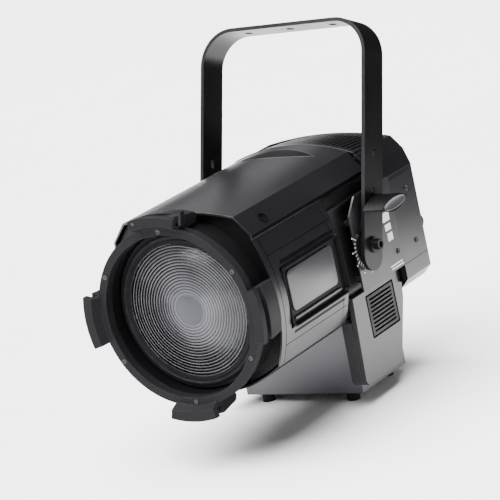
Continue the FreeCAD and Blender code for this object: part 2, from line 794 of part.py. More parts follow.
def top_grille():
    """Arched roof of slats over the heatsink, falling towards the back."""
    piece = new_body("top_grille")
    half = S.grille_half_width
    front_level = -S.dome_end - S.loose_gap
    rear_level = 8 - S.rear_plane

    def section(end_z, rise):
        return [(half, end_z - 3, -rise), (half, end_z), (-half, end_z, rise), (-half, end_z - 3)]

    crest_front = S.crease_up + S.dome_rear
    crest_rear = S.rear_crest
    front = sketch(piece, "XZ", front_level, section(crest_front - 19, dim(19)))
    rear = sketch(piece, "XZ", rear_level, section(crest_rear - 13, dim(13)))
    loft(piece, front, rear)
    length = S.rear_plane - 16 - S.dome_end - 10
    count = 25
    start = -S.slat_pitch * (count - 1) / 2
    low = S.dome_end + 10
    slot = rectangle(start - S.slat_gap / 2, low, start + S.slat_gap / 2, low + length)
    slot_sketch = sketch(piece, "XY", crest_rear - 17, slot)
    first = cut(piece, slot_sketch, 60)
    along(piece, first, slot_sketch, count, S.slat_pitch * (count - 1))


def rear_panel():
    """Flat back panel with openings for the display, the buttons and the knob."""
    piece = new_body("rear_panel")
    level = 1 - S.rear_plane
    outline = rear_section(S.cover_wall + S.loose_gap)
    pad(piece, sketch(piece, "XZ", level, outline), S.cover_wall)
    openings = [rectangle(-36, 18, 36, 54), circle(KNOB_X, KNOB_Z, 3 + S.fit_gap)]
    openings += [circle(x, BUTTON_Z, BUTTON_RADIUS + S.loose_gap) for x in button_places()]
    cut(piece, sketch(piece, "XZ", level - 1, *openings), S.cover_wall + 2)


KNOB_X = dim(112)
KNOB_Z = dim(-20)
BUTTON_Z = dim(0)
BUTTON_RADIUS = dim(5)
BUTTON_NAMES = ["button_menu", "button_down", "button_up", "button_enter"]


def button_places():
    """The four buttons in a row under the display."""
    return [dim(-30 + 20 * index) for index in range(len(BUTTON_NAMES))]


def display_window():
    """Clear cover of the display, set into the rear panel."""
    piece = new_body("display_window")
    level = 1 - S.rear_plane
    gap = S.loose_gap
    outline = rectangle(-36 + gap, 18 + gap, 36 - gap, 54 - gap)
    pad(piece, sketch(piece, "XZ", level, outline), S.cover_wall)


def menu_buttons():
    """Four round push buttons, each held by a wider foot behind the panel."""
    for name, x in zip(BUTTON_NAMES, button_places()):
        piece = new_body(name)
        face = -S.rear_plane - 1.5
        pad(piece, sketch(piece, "XZ", face, circle(x, BUTTON_Z, BUTTON_RADIUS)), 6)
        foot = -S.rear_plane + S.cover_wall + 1 + S.loose_gap
        pad(piece, sketch(piece, "XZ", foot, circle(x, BUTTON_Z, BUTTON_RADIUS + 1.5)), 1.5)


def zoom_knob():
    """Rear knob that sets the zoom, with its shaft through the panel."""
    piece = new_body("zoom_knob")
    tip = -S.rear_reach
    pad(piece, sketch(piece, "XZ", tip, circle(KNOB_X, KNOB_Z, 14)), S.rear_reach - S.rear_plane - 1)
    pad(piece, sketch(piece, "XZ", tip, circle(KNOB_X, KNOB_Z, 3)), S.rear_reach - S.rear_plane + 8)


# ---------------------------------------------------------------------------------------------------
# Light engine and cooling
# ---------------------------------------------------------------------------------------------------


def heatsink():
    """Extruded block with a row of upright fins."""
    piece = new_body("heatsink")
    half = S.fin_pitch * 11 + S.fin_thickness / 2
    plate = rectangle(-half, -80, half, 108)
    pad(piece, sketch(piece, "XZ", S.sink_front - 8, plate), 8)
    rear = S.sink_front - S.sink_length
    start = -S.fin_pitch * 11
    fin = rectangle(start - S.fin_thickness / 2, -80, start + S.fin_thickness / 2, 108)
    outline = sketch(piece, "XZ", rear, fin)
    first = pad(piece, outline, S.sink_length - 8)
    along(piece, first, outline, 23, S.fin_pitch * 22)


def light_engine():
    """Circuit board, light-emitting disc and the reflector in front of them."""
    board = new_body("led_board")
    pad(board, sketch(board, "XZ", S.sink_front, rectangle(-45, -45, 45, 45)), 2)
    disc = new_body("led_array")
    pad(disc, sketch(disc, "XZ", S.sink_front + 2, circle(0, 0, S.led_radius)), 1.5)
    cone = new_body("reflector")
    rear = -S.sink_front - 2.2
    front = S.cover_wall + 1 - MID_BULKHEAD
    outline = sketch(cone, "YZ", 0, [
        (rear, S.led_radius + 2), (front, 66), (front, 69), (rear, S.led_radius + 6),
    ])
    revolve(cone, outline)


def cooling_fan():
    """Axial fan behind the heatsink: a square frame with three spokes and a bladed rotor."""
    front = S.sink_front - S.sink_length
    level = front - S.fan_depth
    half = S.fan_width / 2
    frame = new_body("fan_frame")
    square = rectangle(-half, S.fan_up - half, half, S.fan_up + half)
    pad(frame, sketch(frame, "XZ", level, square, circle(0, S.fan_up, half - 3)), S.fan_depth)
    pad(frame, sketch(frame, "XZ", level, circle(0, S.fan_up, 21)), 3)
    bars = [rectangle(-half + 2, S.fan_up - 2, half - 2, S.fan_up + 2)]
    pad(frame, sketch(frame, "XZ", level, *bars), 2.5)
    rotor = new_body("fan_rotor", z=S.fan_up)
    pad(rotor, sketch(rotor, "XZ", level + 4, circle(0, 0, 20)), S.fan_depth - 6)
    blade = sketch(rotor, "XZ", level + 6, [
        (18, -3), (half - 7, -16), (half - 5, -4), (half - 7, 5), (19, 3),
    ])
    around(rotor, pad(rotor, blade, 3), blade, 7)


# ---------------------------------------------------------------------------------------------------
# Base with the power supply
# ---------------------------------------------------------------------------------------------------


def base_box():
    """Folded box under the head, open above."""
    piece = new_body("base_box")
    half = S.base_half_width
    wall = S.base_wall
    outer = rectangle(-half, -S.base_front, half, S.base_rear)
    pad(piece, sketch(piece, "XY", -S.base_bottom, outer), S.base_bottom - S.underside)
    inner = rectangle(wall - half, wall - S.base_front, half - wall, S.base_rear - wall)
    cut(piece, sketch(piece, "XY", wall - S.base_bottom, inner), S.base_bottom)
    sockets = [circle(x, SOCKET_Z, radius) for x, radius in socket_places()]
    cut(piece, sketch(piece, "XZ", -S.base_rear - 1, *sockets), wall + 2)


SOCKET_Z = dim(-150)


def socket_places():
    """Middle and radius of the power inlet and the two data sockets."""
    return [(dim(-60), dim(13)), (dim(10), dim(11)), (dim(55), dim(11))]


def feet():
    """Four rubber feet."""
    piece = new_body("feet")
    reach = S.foot_radius + 4
    places = [
        circle(side * S.foot_across, y, S.foot_radius)
        for side in (1, -1)
        for y in (reach - S.base_front, S.base_rear - reach)
    ]
    pad(piece, sketch(piece, "XY", -S.pivot_height, *places), S.pivot_height - S.base_bottom)


def base_cover(side):
    """Side cover of the base, hollow on its inner face, with an opening for the vent grille."""
    piece = new_body(sided(side, "left_base_cover", "right_base_cover"))

    def outline(inset):
        return [
            (inset - 58, -64 - inset),
            (inset - 66, inset - 188),
            (inset - 60, inset - 195),
            (29, inset - 195),
            (47 - inset, inset - 179),
            (79 - inset, -106),
            (85 - inset, -64 - inset),
        ]

    level, depth = slab(side, S.chassis_face + 1, S.base_cover_face)
    pad(piece, sketch(piece, "YZ", level, outline(0)), depth)
    lower = outline(0)[1:6]
    tray = [(-63, -S.underside - 1)] + lower[:-1] + [(80, -S.underside - 1)]
    level, depth = slab(side, S.base_half_width + S.loose_gap, S.chassis_face + 1)
    pad(piece, sketch(piece, "YZ", level, tray), depth)
    level, depth = slab(side, S.base_half_width - 1, S.base_cover_face - 2.5)
    hollow = [(-56, -S.underside - 4), (-61, -186), (-57, -191), (28, -191), (44, -177), (74, -S.underside - 4)]
    cut(piece, sketch(piece, "YZ", level, hollow), depth)
    level, depth = slab(side, S.chassis_face, S.base_cover_face + 1)
    cut(piece, sketch(piece, "YZ", level, vent_outline(S.loose_gap)), depth)


VENT_Y = dim(17)
VENT_Z = dim(-104)


def vent_outline(grow):
    """Rectangle of the vent grille, in y and z."""
    half = S.vent_length / 2 + grow
    up = S.vent_height / 2 + grow
    return rectangle(VENT_Y - half, VENT_Z - up, VENT_Y + half, VENT_Z + up)


def vent_grille(side):
    """Louvred insert in the base side cover."""
    piece = new_body(sided(side, "left_vent_grille", "right_vent_grille"))
    level, depth = slab(side, S.base_cover_face - 2.5, S.base_cover_face)
    pad(piece, sketch(piece, "YZ", level, vent_outline(0)), depth)
    half = S.vent_length / 2 - 6
    pitch = dim(6)
    count = 9
    start = VENT_Z - pitch * (count - 1) / 2
    slot = rectangle(VENT_Y - half, start - 1.5, VENT_Y + half, start + 1.5)
    level, depth = slab(side, S.base_cover_face - 4, S.base_cover_face + 1)
    outline = sketch(piece, "YZ", level, slot)
    along(piece, cut(piece, outline, depth), outline, count, pitch * (count - 1), axis="V_Axis")


def base_contents():
    """Power supply block and driver board inside the base, and the sockets on its back."""
    supply = new_body("power_supply")
    bottom = S.base_wall - S.base_bottom + S.loose_gap
    pad(supply, sketch(supply, "XY", bottom, rectangle(-85, -32, 85, 60)), 45)
    board = new_body("driver_board")
    pad(board, sketch(board, "XY", bottom + 75, rectangle(-85, -32, 85, 70)), 2)
    posts = [circle(side * 80, y, 3) for side in (1, -1) for y in (-27, 65)]
    pad(board, sketch(board, "XY", bottom + 45, *posts[::2]), 30)
    pad(board, sketch(board, "XY", bottom, *posts[1::2]), 75)
    places = socket_places()
    for name, sockets in (("power_inlet", places[:1]), ("data_sockets", places[1:])):
        socket = new_body(name)
        level = -S.base_rear - 3
        layers = ((level, 3, 3), (level, 20, -0.2))
        for start, depth, grow in layers:
            rounds = [circle(x, SOCKET_Z, radius + grow) for x, radius in sockets]
            pad(socket, sketch(socket, "XZ", start, *rounds), depth)
        mouths = [circle(x, SOCKET_Z, radius - 3) for x, radius in sockets]
        cut(socket, sketch(socket, "XZ", level - 1, *mouths), 13)


# ---------------------------------------------------------------------------------------------------
# Chassis, side plates and pivots
# ---------------------------------------------------------------------------------------------------


def chassis_plate(side):
    """Upright steel plate that carries the pivot pin, with a flange along its top edge."""
    piece = new_body(sided(side, "left_chassis_plate", "right_chassis_plate"))
    front = S.loose_gap - S.cover_rear
    rear = S.rear_start - S.loose_gap
    low = 4 - S.cover_bottom
    level, depth = slab(side, S.chassis_face - S.chassis_plate, S.chassis_face)
    pad(piece, sketch(piece, "YZ", level, rectangle(front, low, rear, S.cover_top - S.loose_gap)), depth)
    level, depth = slab(side, S.chassis_face - S.chassis_plate, S.chassis_face + 5)
    pad(piece, sketch(piece, "YZ", level, rectangle(front, 70, S.dome_end, 73)), depth)
    hole = circle(0, 0, S.pin_radius)
    level, depth = slab(side, S.chassis_face - S.chassis_plate - 1, S.chassis_face + 1)
    cut(piece, sketch(piece, "YZ", level, hole), depth)


def side_plate(side):
    """Plate beside the yoke arm that the tilt lock presses on."""
    piece = new_body(sided(side, "left_side_plate", "right_side_plate"))
    rear = S.rear_start - S.loose_gap
    outline = [(-32, -61), (rear, -61), (rear, S.shoulder_up), (-8, S.shoulder_up), (-32, 52)]
    level, depth = slab(side, S.panel_half_width - 3, S.panel_half_width)
    pad(piece, sketch(piece, "YZ", level, outline), depth)
    spacers = [circle(y, z, 5) for y, z in ((-20, -45), (-20, 40), (75, -45), (75, 55))]
    level, depth = slab(side, S.chassis_face, S.panel_half_width - 3)
    pad(piece, sketch(piece, "YZ", level, *spacers), depth)
    level, depth = slab(side, S.chassis_face - 1, S.panel_half_width + 1)
    cut(piece, sketch(piece, "YZ", level, circle(0, 0, S.pin_radius)), depth)


def pivot_pins():
    """Two hollow-ended pins, one through each arm of the yoke, with a collar outside the arm."""
    piece = new_body("pivot_pins")
    for side in (1, -1):
        level, depth = slab(side, S.chassis_face - 8, S.pin_reach)
        pad(piece, sketch(piece, "YZ", level, circle(0, 0, S.pin_radius)), depth)
        level, depth = slab(side, ARM_OUTER + 0.4, ARM_OUTER + 4)
        pad(piece, sketch(piece, "YZ", level, circle(0, 0, S.pin_radius + 4)), depth)
        level, depth = slab(side, S.pin_reach - 6, S.pin_reach + 1)
        cut(piece, sketch(piece, "YZ", level, circle(0, 0, 5)), depth)


def pivot_bushes():
    """Plastic washers between the side plates and the yoke arms."""
    piece = new_body("pivot_bushes")
    for side in (1, -1):
        level, depth = slab(side, S.panel_half_width, ARM_INNER - 0.4)
        ring = [circle(0, 0, 17), circle(0, 0, S.pin_radius)]
        pad(piece, sketch(piece, "YZ", level, *ring), depth)


def panel_screws():
    """Button-head screws on the side plates and the rear side panels."""
    piece = new_body("panel_screws")
    places = ((81, -36), (138, 45), (138, -37), (-22, 20))
    for side in (1, -1):
        level, depth = slab(side, S.panel_half_width, S.panel_half_width + 1.6)
        heads = sketch(piece, "YZ", level, *[circle(y, z, 3.2) for y, z in places])
        pad(piece, heads, depth)
        level, depth = slab(side, S.panel_half_width + 0.6, S.panel_half_width + 3)
        sockets = sketch(piece, "YZ", level, *[circle(y, z, 1.4) for y, z in places])
        cut(piece, sockets, depth)


def safety_eye():
    """Steel loop under the rear edge for a safety cable."""
    piece = new_body("safety_eye", x=-90, y=S.rear_plane - 1, z=-80)
    revolve(piece, sketch(piece, "YZ", 0, circle(12, 0, 3)), axis="V_Axis", angle=180)


# ---------------------------------------------------------------------------------------------------
# Yoke and tilt locks
# ---------------------------------------------------------------------------------------------------


def yoke():
    """Flat bar bent into a U, with pivot bores, lock bores, slots and hanging holes."""
    piece = new_body("yoke", lean=True)
    outer = ARM_OUTER
    inner = ARM_INNER
    top = S.yoke_height
    under = top - S.bar_thickness
    bend = S.yoke_bend
    bend_rise = bend * (1 - cosine(dim(45)))
    inner_bend = bend - S.bar_thickness
    inner_rise = inner_bend * (1 - cosine(dim(45)))
    tail = -S.arm_tail
    section = [
        (outer, tail),
        (outer, top - bend),
        (outer - bend, top, bend_rise),
        (bend - outer, top),
        (-outer, top - bend, bend_rise),
        (-outer, tail),
        (-inner, tail),
        (-inner, under - inner_bend),
        (inner_bend - inner, under, -inner_rise),
        (inner - inner_bend, under),
        (inner, under - inner_bend, -inner_rise),
        (inner, tail),
    ]
    bar = pad(piece, sketch(piece, "XZ", 0, section), S.bar_width, both_ways=True)
    low = tail.value + 1
    fillet(piece, bar, S.bar_width / 2 - 1, lambda edge: runs_along(edge, "x") and edge.BoundBox.ZMax < low)
    bores = [
        circle(0, 0, S.pin_radius + S.fit_gap),
        circle(0, S.lock_up, S.lock_stud_radius),
        rectangle(-4, 129, 4, 140),
        rectangle(-3, 76, 3, 84),
    ]
    cut(piece, sketch(piece, "YZ", -outer - 1, *bores), S.yoke_width + 2)
    hangers = [circle(index * S.hang_hole_spacing, 0, S.hang_hole_radius) for index in (-1, 0, 1)]
    cut(piece, sketch(piece, "XY", under - 1, *hangers), S.bar_thickness + 2)


def lock_studs():
    """Threaded studs fixed in the arms, which the wings turn on."""
    piece = new_body("lock_studs", lean=True)
    for side in (1, -1):
        level, depth = slab(side, ARM_INNER, S.wing_outer - 4)
        pad(piece, sketch(piece, "YZ", level, circle(0, S.lock_up, S.lock_stud_radius)), depth)


def brake_pads():
    """Friction pads between the arms and the side plates, pulled in by the tilt locks."""
    piece = new_body("brake_pads", lean=True)
    for side in (1, -1):
        level, depth = slab(side, S.panel_half_width + 0.4, ARM_INNER)
        pad(piece, sketch(piece, "YZ", level, circle(0, S.lock_up, 14)), depth)


def lock_wing(side):
    """Long eye-shaped hand wing of the tilt lock, with a hub against the arm."""
    piece = new_body(sided(side, "left_lock_wing", "right_lock_wing"), y=LOCK_Y, z=LOCK_Z)
    tip = S.wing_length / 2
    rise = S.wing_thickness / 2
    level, depth = slab(side, S.wing_inner, S.wing_outer)
    pad(piece, sketch(piece, "YZ", level, [(-tip, 0, rise), (tip, 0, rise)]), depth)
    level, depth = slab(side, ARM_OUTER + S.loose_gap, S.wing_inner)
    pad(piece, sketch(piece, "YZ", level, circle(0, 0, 9)), depth)
    level, depth = slab(side, ARM_OUTER - 1, S.wing_outer - 4 + S.loose_gap)
    cut(piece, sketch(piece, "YZ", level, circle(0, 0, S.lock_stud_radius + S.fit_gap)), depth)


# ---------------------------------------------------------------------------------------------------
# Build, check and write
# ---------------------------------------------------------------------------------------------------


def check():
    """Stop if any object failed, any piece is empty or broken, or any cut missed its piece."""
    for item in doc.Objects:
        if {"Invalid", "Error"} & set(item.State):
            raise RuntimeError(f"{item.Name} did not build: {item.State}")
    for piece in pieces:
        if piece.Shape.isNull() or not piece.Shape.isValid() or not piece.Shape.Solids:
            raise RuntimeError(f"{piece.Label} has no sound shape")
    for feature in cuts:
        if feature.BaseFeature.Shape.Volume - feature.Shape.Volume < 0.5:
            raise RuntimeError(f"{feature.Name} removes nothing")


def write():
    """Write each sub-part to its own file."""
    os.makedirs("parts", exist_ok=True)
    for piece in pieces:
        piece.Shape.exportStep(f"parts/{piece.Label}.step")


def main():
    """Build the whole light."""
    front_ring()
    ring_screws()
    accessory_latch()
    latch_pin()
    front_barrel()
    lens()
    lens_retainer()
    lens_tube()
    carriage_plate()
    guide_rods()
    lead_screw()
    zoom_motor()
    bulkheads()
    top_cover()
    bottom_cover()
    rear_cover()
    top_grille()
    rear_panel()
    display_window()
    menu_buttons()
    zoom_knob()
    heatsink()
    light_engine()
    cooling_fan()
    base_box()
    feet()
    base_contents()
    pivot_pins()
    pivot_bushes()
    panel_screws()
    safety_eye()
    yoke()
    lock_studs()
    brake_pads()
    for side in (1, -1):
        side_cover(side)
        window_frame(side)
        window_plate(side)
        base_cover(side)
        vent_grille(side)
        chassis_plate(side)
        side_plate(side)
        lock_wing(side)
    doc.recompute()
    check()
    write()


main()
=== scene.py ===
"""Studio Fresnel spotlight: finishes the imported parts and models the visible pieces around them."""

import json
import math

import bpy
from bpy.props import FloatProperty, FloatVectorProperty, IntProperty, PointerProperty
from mathutils import Matrix, Vector


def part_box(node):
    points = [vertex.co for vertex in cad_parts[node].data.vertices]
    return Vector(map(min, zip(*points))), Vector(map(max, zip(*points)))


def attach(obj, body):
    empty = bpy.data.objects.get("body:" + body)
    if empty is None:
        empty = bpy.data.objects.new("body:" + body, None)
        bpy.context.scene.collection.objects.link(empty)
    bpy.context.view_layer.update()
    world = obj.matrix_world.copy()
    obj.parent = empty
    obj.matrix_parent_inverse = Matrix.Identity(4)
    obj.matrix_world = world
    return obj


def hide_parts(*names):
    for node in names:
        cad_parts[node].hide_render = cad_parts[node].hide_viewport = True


bl_info = {
    "name": "Fresnel spotlight",
    "version": (1, 0, 0),
    "blender": (4, 5, 0),
    "location": "View3D > Sidebar > Spotlight",
    "description": "Models and finishes a studio Fresnel spotlight around its packed frame",
    "category": "Object",
}

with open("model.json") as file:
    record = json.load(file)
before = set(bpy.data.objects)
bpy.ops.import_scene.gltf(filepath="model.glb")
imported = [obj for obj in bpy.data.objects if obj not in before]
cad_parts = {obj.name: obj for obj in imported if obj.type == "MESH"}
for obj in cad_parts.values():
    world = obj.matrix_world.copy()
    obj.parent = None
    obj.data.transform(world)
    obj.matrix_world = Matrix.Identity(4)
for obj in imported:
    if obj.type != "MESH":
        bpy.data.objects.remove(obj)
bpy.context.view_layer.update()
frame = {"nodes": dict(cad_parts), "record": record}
MM = 0.001

BUMP_HEIGHT = 0.0005  # metres, as are the next two
WEAVE_HEIGHT = 0.0006
EDGE_RADIUS = 0.0007

# The tilt pivot, in metres. Every other place below is in millimetres from it.
PIVOT = Vector((0.0, 0.069, 0.228))

SIDES = (("left", 1.0), ("right", -1.0))
SIDE_REACH = 150.0  # x from which strips are pressed onto the side faces: clear of every cover

LENS_FACE = -276.0  # y of the lens's stepped face
RISER_RUN = 0.16  # width of the steep side of a lens step
DOME = ((0.9, 5.0), (0.7, 5.0), (0.5, 5.0), (0.25, 5.0))  # fall and run of the plain middle's rings

HOLDER_RADIUS = 115.5
HOLDER_BACK = -272.1  # y
HOLDER_WALL = 2.5
HOLDER_STEPS = ((3.6, 0.0), (0.8, 2.4), (3.0, 0.9), (0.8, -1.1), (3.2, -0.4), (0.8, 1.0), (5.2, 0.6))

RING_SCREWS = 6
RING_SCREW_CIRCLE = 125.2  # radius
RING_FACE = -307.2  # y
PLATE_SCREW_X = 134.6
PLATE_SCREWS = ((81.0, -36.0), (138.0, 45.0), (138.0, -37.0), (-22.0, 20.0))  # y, z
COVER_WELLS = (  # x, y, z and the way the cover faces there
    (109.6, -210.0, 108.6, (0.80, 0.0, 0.60)),
    (112.0, 78.0, 113.5, (0.72, 0.0, 0.69)),
    (112.0, 148.0, 113.5, (0.72, 0.0, 0.69)),
)

INSET_SPAN = (131.5, 134.6)  # x of the window plate's back and face
INSET_PLATE = ((-218.0, -27.0), (-94.0, 32.0))  # y, z of two corners
WINDOW_SILL = ((-218.0, -38.5), (-88.0, -34.0))
WINDOW_STRIPS = (("shade_below", -54.5, 4.0, -224.0, -82.0), ("shade_above", 48.0, 5.0, -226.0, -80.0))  # z, width, y, y of the black strips below and above each window, painted shade of its recess

SIDE_SEAMS = (  # start y, z; end y, z; width; steps
    ((-247.0, 64.0), (-76.0, 64.0), 0.9, 6),
    ((-247.0, -66.0), (-76.0, -66.0), 0.9, 6),
    ((-247.0, -91.0), (-247.0, 90.0), 1.1, 40),
    ((-86.0, -91.0), (-86.0, -52.0), 0.8, 12),
    ((-86.0, 46.0), (-86.0, 90.0), 0.8, 12),
)
REAR_SEAM_SPAN = (93.0, 164.0)  # y
REAR_SEAMS = (72.0, 69.0, -61.0)  # z
COVER_EDGE_SHADE = (-257.5, 59.5, 95.4)  # start y, end y, z of the near-black strip under the top cover's edge, painted shade of its overhang
CORNER_GAP = ((126.0, 80.0, -84.0), (133.4, 93.0, -61.2))  # corners of a near-black block between the base cover and the rear cover, painted shade in their gap

SCALE_START, SCALE_STEP, SCALE_MARKS = 150.0, 10.0, 25  # degrees, degrees, count
TICK_INNER, TICK_OUTER, LONG_TICK_OUTER, TICK_HALF_WIDTH = 30.5, 35.5, 38.0, 0.5
DOT_CIRCLE, DOT_RADIUS = 41.5, 1.2
LABEL_FIELDS = (  # middle y, middle z, length, height
    (65.0, 22.0, 20.0, 14.0),
    (66.0, 6.0, 17.0, 10.0),
    (67.5, -9.0, 15.0, 12.0),
    (70.0, -52.0, 36.0, 2.2),
    (72.0, -56.5, 36.0, 2.2),
)
VENT_RIM = (  # middle y, middle z, length, height
    (17.0, -72.6, 80.0, 2.4),
    (17.0, -135.4, 80.0, 2.4),
    (-22.4, -104.0, 2.4, 64.0),
    (56.4, -104.0, 2.4, 64.0),
)
VENT_SHADE_WALL = ((-19.0, -132.0), (53.0, -76.0))  # y, z of two corners of the near-black wall behind the louvres, painted shade of the base's inside

LOCK_OVAL = (31.0, 8.2)  # half lengths along y and z
EYE_CENTRE = (0.0, 14.0, 170.0)
EYE_LAYERS = (
    ("rim", "eye_rim", 68.0, 21.0, 0.5), ("inlay", "gloss_black", 62.0, 17.0, 0.9)
)  # half x, half y, lift
DISPLAY_BEZEL = ((-41.0, 163.6, 12.5), (41.0, 165.6, 59.5))

CAMERA_PLACE = (2.1197, -3.0421, 1.1508)  # metres
CAMERA_TURN = (76.074, 12.009, 32.198)  # degrees
FLAG_WAY = (0.56, 0.83, 0.0)  # from the object to the card that keeps the upper side faces dark
FLAG_DISTANCE, FLAG_HEIGHT, FLAG_SIZE = 0.95, 1.51, 3.0  # metres


def at(x, y, z):
    """A place given in millimetres from the tilt pivot."""
    return PIVOT + Vector((x, y, z)) * MM


# ---------------------------------------------------------------- node groups


def new_group(name, inputs, outputs):
    """An empty node group with its sockets, and its input and output nodes."""
    group = bpy.data.node_groups.new(name, "ShaderNodeTree")
    for label, kind, default in inputs:
        socket = group.interface.new_socket(label, in_out="INPUT", socket_type=kind)
        if default is not None:
            socket.default_value = default
    for label, kind in outputs:
        group.interface.new_socket(label, in_out="OUTPUT", socket_type=kind)
    return group, group.nodes.new("NodeGroupInput"), group.nodes.new("NodeGroupOutput")


def add_node(tree, kind, links=None, **settings):
    """A node with its settings, and its inputs joined to other nodes' outputs or set to a value."""
    node = tree.nodes.new(kind)
    for key, value in settings.items():
        setattr(node, key, value)
    for socket, source in (links or {}).items():
        if hasattr(source, "is_output"):
            tree.links.new(source, node.inputs[socket])
        else:
            node.inputs[socket].default_value = source
    return node


def noise(tree, place, scale, detail=2.0, distortion=0.0):
    """The value of a cloud texture."""
    links = {"Vector": place, "Scale": scale, "Detail": detail, "Distortion": distortion}
    return add_node(tree, "ShaderNodeTexNoise", links).outputs["Fac"]


def maths(tree, operation, *values, clamp=False):
    """The result of one sum."""
    node = add_node(tree, "ShaderNodeMath", dict(enumerate(values)), operation=operation, use_clamp=clamp)
    return node.outputs[0]


def remap(tree, value, start, end, low=0.0, high=1.0):
    """A value moved from one range to another and held at its ends."""
    links = {"Value": value, "From Min": start, "From Max": end, "To Min": low, "To Max": high}
    return add_node(tree, "ShaderNodeMapRange", links).outputs[0]


def mixed(tree, factor, one, two):
    """A colour between two others."""
    return add_node(tree, "ShaderNodeMix", {"Factor": factor, 6: one, 7: two}, data_type="RGBA").outputs[2]


def fine_grain():
    """Height of a moulded or sprayed surface: a fine orange peel over a slow waviness."""
    group, given, out = new_group(
        "Fine grain",
        [
            ("Vector", "NodeSocketVector", None),
            ("Scale", "NodeSocketFloat", 900.0),
            ("Waviness", "NodeSocketFloat", 0.3),
        ],
        [("Height", "NodeSocketFloat")],
    )
    fine = noise(group, given.outputs["Vector"], given.outputs["Scale"])
    slow = noise(group, given.outputs["Vector"], 38.0, detail=1.0)
    wave = maths(group, "MULTIPLY", slow, given.outputs["Waviness"])
    group.links.new(maths(group, "ADD", fine, wave), out.inputs["Height"])
    return group


def edge_wear():
    """Colour of a finish rubbed thin along its edges."""
    group, given, out = new_group(
        "Edge wear",
        [
            ("Vector", "NodeSocketVector", None),
            ("Finish", "NodeSocketColor", (0.02, 0.02, 0.02, 1.0)),
            ("Rubbed", "NodeSocketColor", (0.2, 0.2, 0.2, 1.0)),
            ("Amount", "NodeSocketFloat", 0.3),
        ],
        [("Color", "NodeSocketColor")],
    )
    rounded = add_node(group, "ShaderNodeBevel", {"Radius": 0.0011}, samples=3).outputs["Normal"]
    flat = add_node(group, "ShaderNodeNewGeometry").outputs["Normal"]
    turn = add_node(group, "ShaderNodeVectorMath", {0: rounded, 1: flat}, operation="DOT_PRODUCT")
    edge = remap(group, turn.outputs["Value"], 0.985, 0.86)
    broken = remap(group, noise(group, given.outputs["Vector"], 60.0, detail=4.0), 0.42, 0.66)
    patches = maths(group, "MULTIPLY", edge, broken)
    mask = maths(group, "MULTIPLY", patches, given.outputs["Amount"], clamp=True)
    worn = mixed(group, mask, given.outputs["Finish"], given.outputs["Rubbed"])
    group.links.new(worn, out.inputs["Color"])
    return group


def cloudy_sheen():
    """A roughness that drifts between two values, as on a wiped and handled surface."""
    group, given, out = new_group(
        "Cloudy sheen",
        [
            ("Vector", "NodeSocketVector", None),
            ("Low", "NodeSocketFloat", 0.3),
            ("High", "NodeSocketFloat", 0.45),
        ],
        [("Value", "NodeSocketFloat")],
    )
    cloud = noise(group, given.outputs["Vector"], 18.0, detail=3.0, distortion=0.4)
    span = remap(group, cloud, 0.3, 0.7, given.outputs["Low"], given.outputs["High"])
    group.links.new(span, out.inputs["Value"])
    return group


def brushed_lines():
    """Height of metal drawn along one axis; Stretch squeezes the other two."""
    group, given, out = new_group(
        "Brushed lines",
        [
            ("Vector", "NodeSocketVector", None),
            ("Stretch", "NodeSocketVector", (1500.0, 20.0, 1500.0)),
        ],
        [("Height", "NodeSocketFloat")],
    )
    links = {0: given.outputs["Vector"], 1: given.outputs["Stretch"]}
    pulled = add_node(group, "ShaderNodeVectorMath", links, operation="MULTIPLY")
    group.links.new(noise(group, pulled.outputs[0], 1.0, detail=3.0), out.inputs["Height"])
    return group


def prism_weave():
    """Fine crossed texture of the lens away from its middle, and a painted glint across each zone.

    Everything is measured from the optical axis. Mask is 0 in the plain middle and 1 outside it. Zone
    rises over each zone's width, a painted highlight that stands for the glint of each step.
    """
    group, given, out = new_group(
        "Prism weave",
        [
            ("Vector", "NodeSocketVector", None),
            ("Clear radius", "NodeSocketFloat", 0.03),
            ("Rim radius", "NodeSocketFloat", 0.1),
            ("Zone width", "NodeSocketFloat", 0.004),
        ],
        [("Height", "NodeSocketFloat"), ("Mask", "NodeSocketFloat"), ("Zone", "NodeSocketFloat")],
    )
    clear = given.outputs["Clear radius"]
    flatten = {
        "Vector": given.outputs["Vector"], "Location": (-PIVOT.x, 0.0, -PIVOT.z), "Scale": (1.0, 0.0, 1.0)
    }
    axis = add_node(group, "ShaderNodeMapping", flatten).outputs[0]
    radius = add_node(group, "ShaderNodeVectorMath", {0: axis}, operation="LENGTH").outputs["Value"]
    outside = remap(group, radius, clear, 0.06)
    cells = add_node(group, "ShaderNodeTexVoronoi", {"Vector": axis, "Scale": 420.0})
    height = maths(group, "MULTIPLY", cells.outputs["Distance"], outside)
    depth = maths(group, "SUBTRACT", given.outputs["Rim radius"], radius)
    part = maths(group, "FRACT", maths(group, "DIVIDE", depth, given.outputs["Zone width"]))
    steep = maths(group, "POWER", part, 2.2)
    cloud = noise(group, given.outputs["Vector"], 14.0, detail=1.0)
    zone = maths(group, "MULTIPLY", steep, remap(group, cloud, 0.35, 0.65, 0.25, 1.0))
    painted_glint = maths(group, "MULTIPLY", zone, remap(group, radius, clear, 0.026))
    group.links.new(height, out.inputs["Height"])
    group.links.new(outside, out.inputs["Mask"])
    group.links.new(painted_glint, out.inputs["Zone"])
    return group


GROUPS = {}
MAKERS = {
    "Fine grain": fine_grain,
    "Edge wear": edge_wear,
    "Cloudy sheen": cloudy_sheen,
    "Brushed lines": brushed_lines,
    "Prism weave": prism_weave,
}


def effect(tree, name, links):
    """An instance of a shared effect in a material, with its own values."""
    if name not in GROUPS:
        GROUPS[name] = MAKERS[name]()
    return add_node(tree, "ShaderNodeGroup", links, node_tree=GROUPS[name])


# ------------------------------------------------------------------ materials


def shade(name):
    """An empty material with its Principled shader and object coordinates."""
    material = bpy.data.materials.new(name)
    material.use_nodes = True
    tree = material.node_tree
    place = add_node(tree, "ShaderNodeTexCoord").outputs["Object"]
    return material, tree, tree.nodes["Principled BSDF"], place


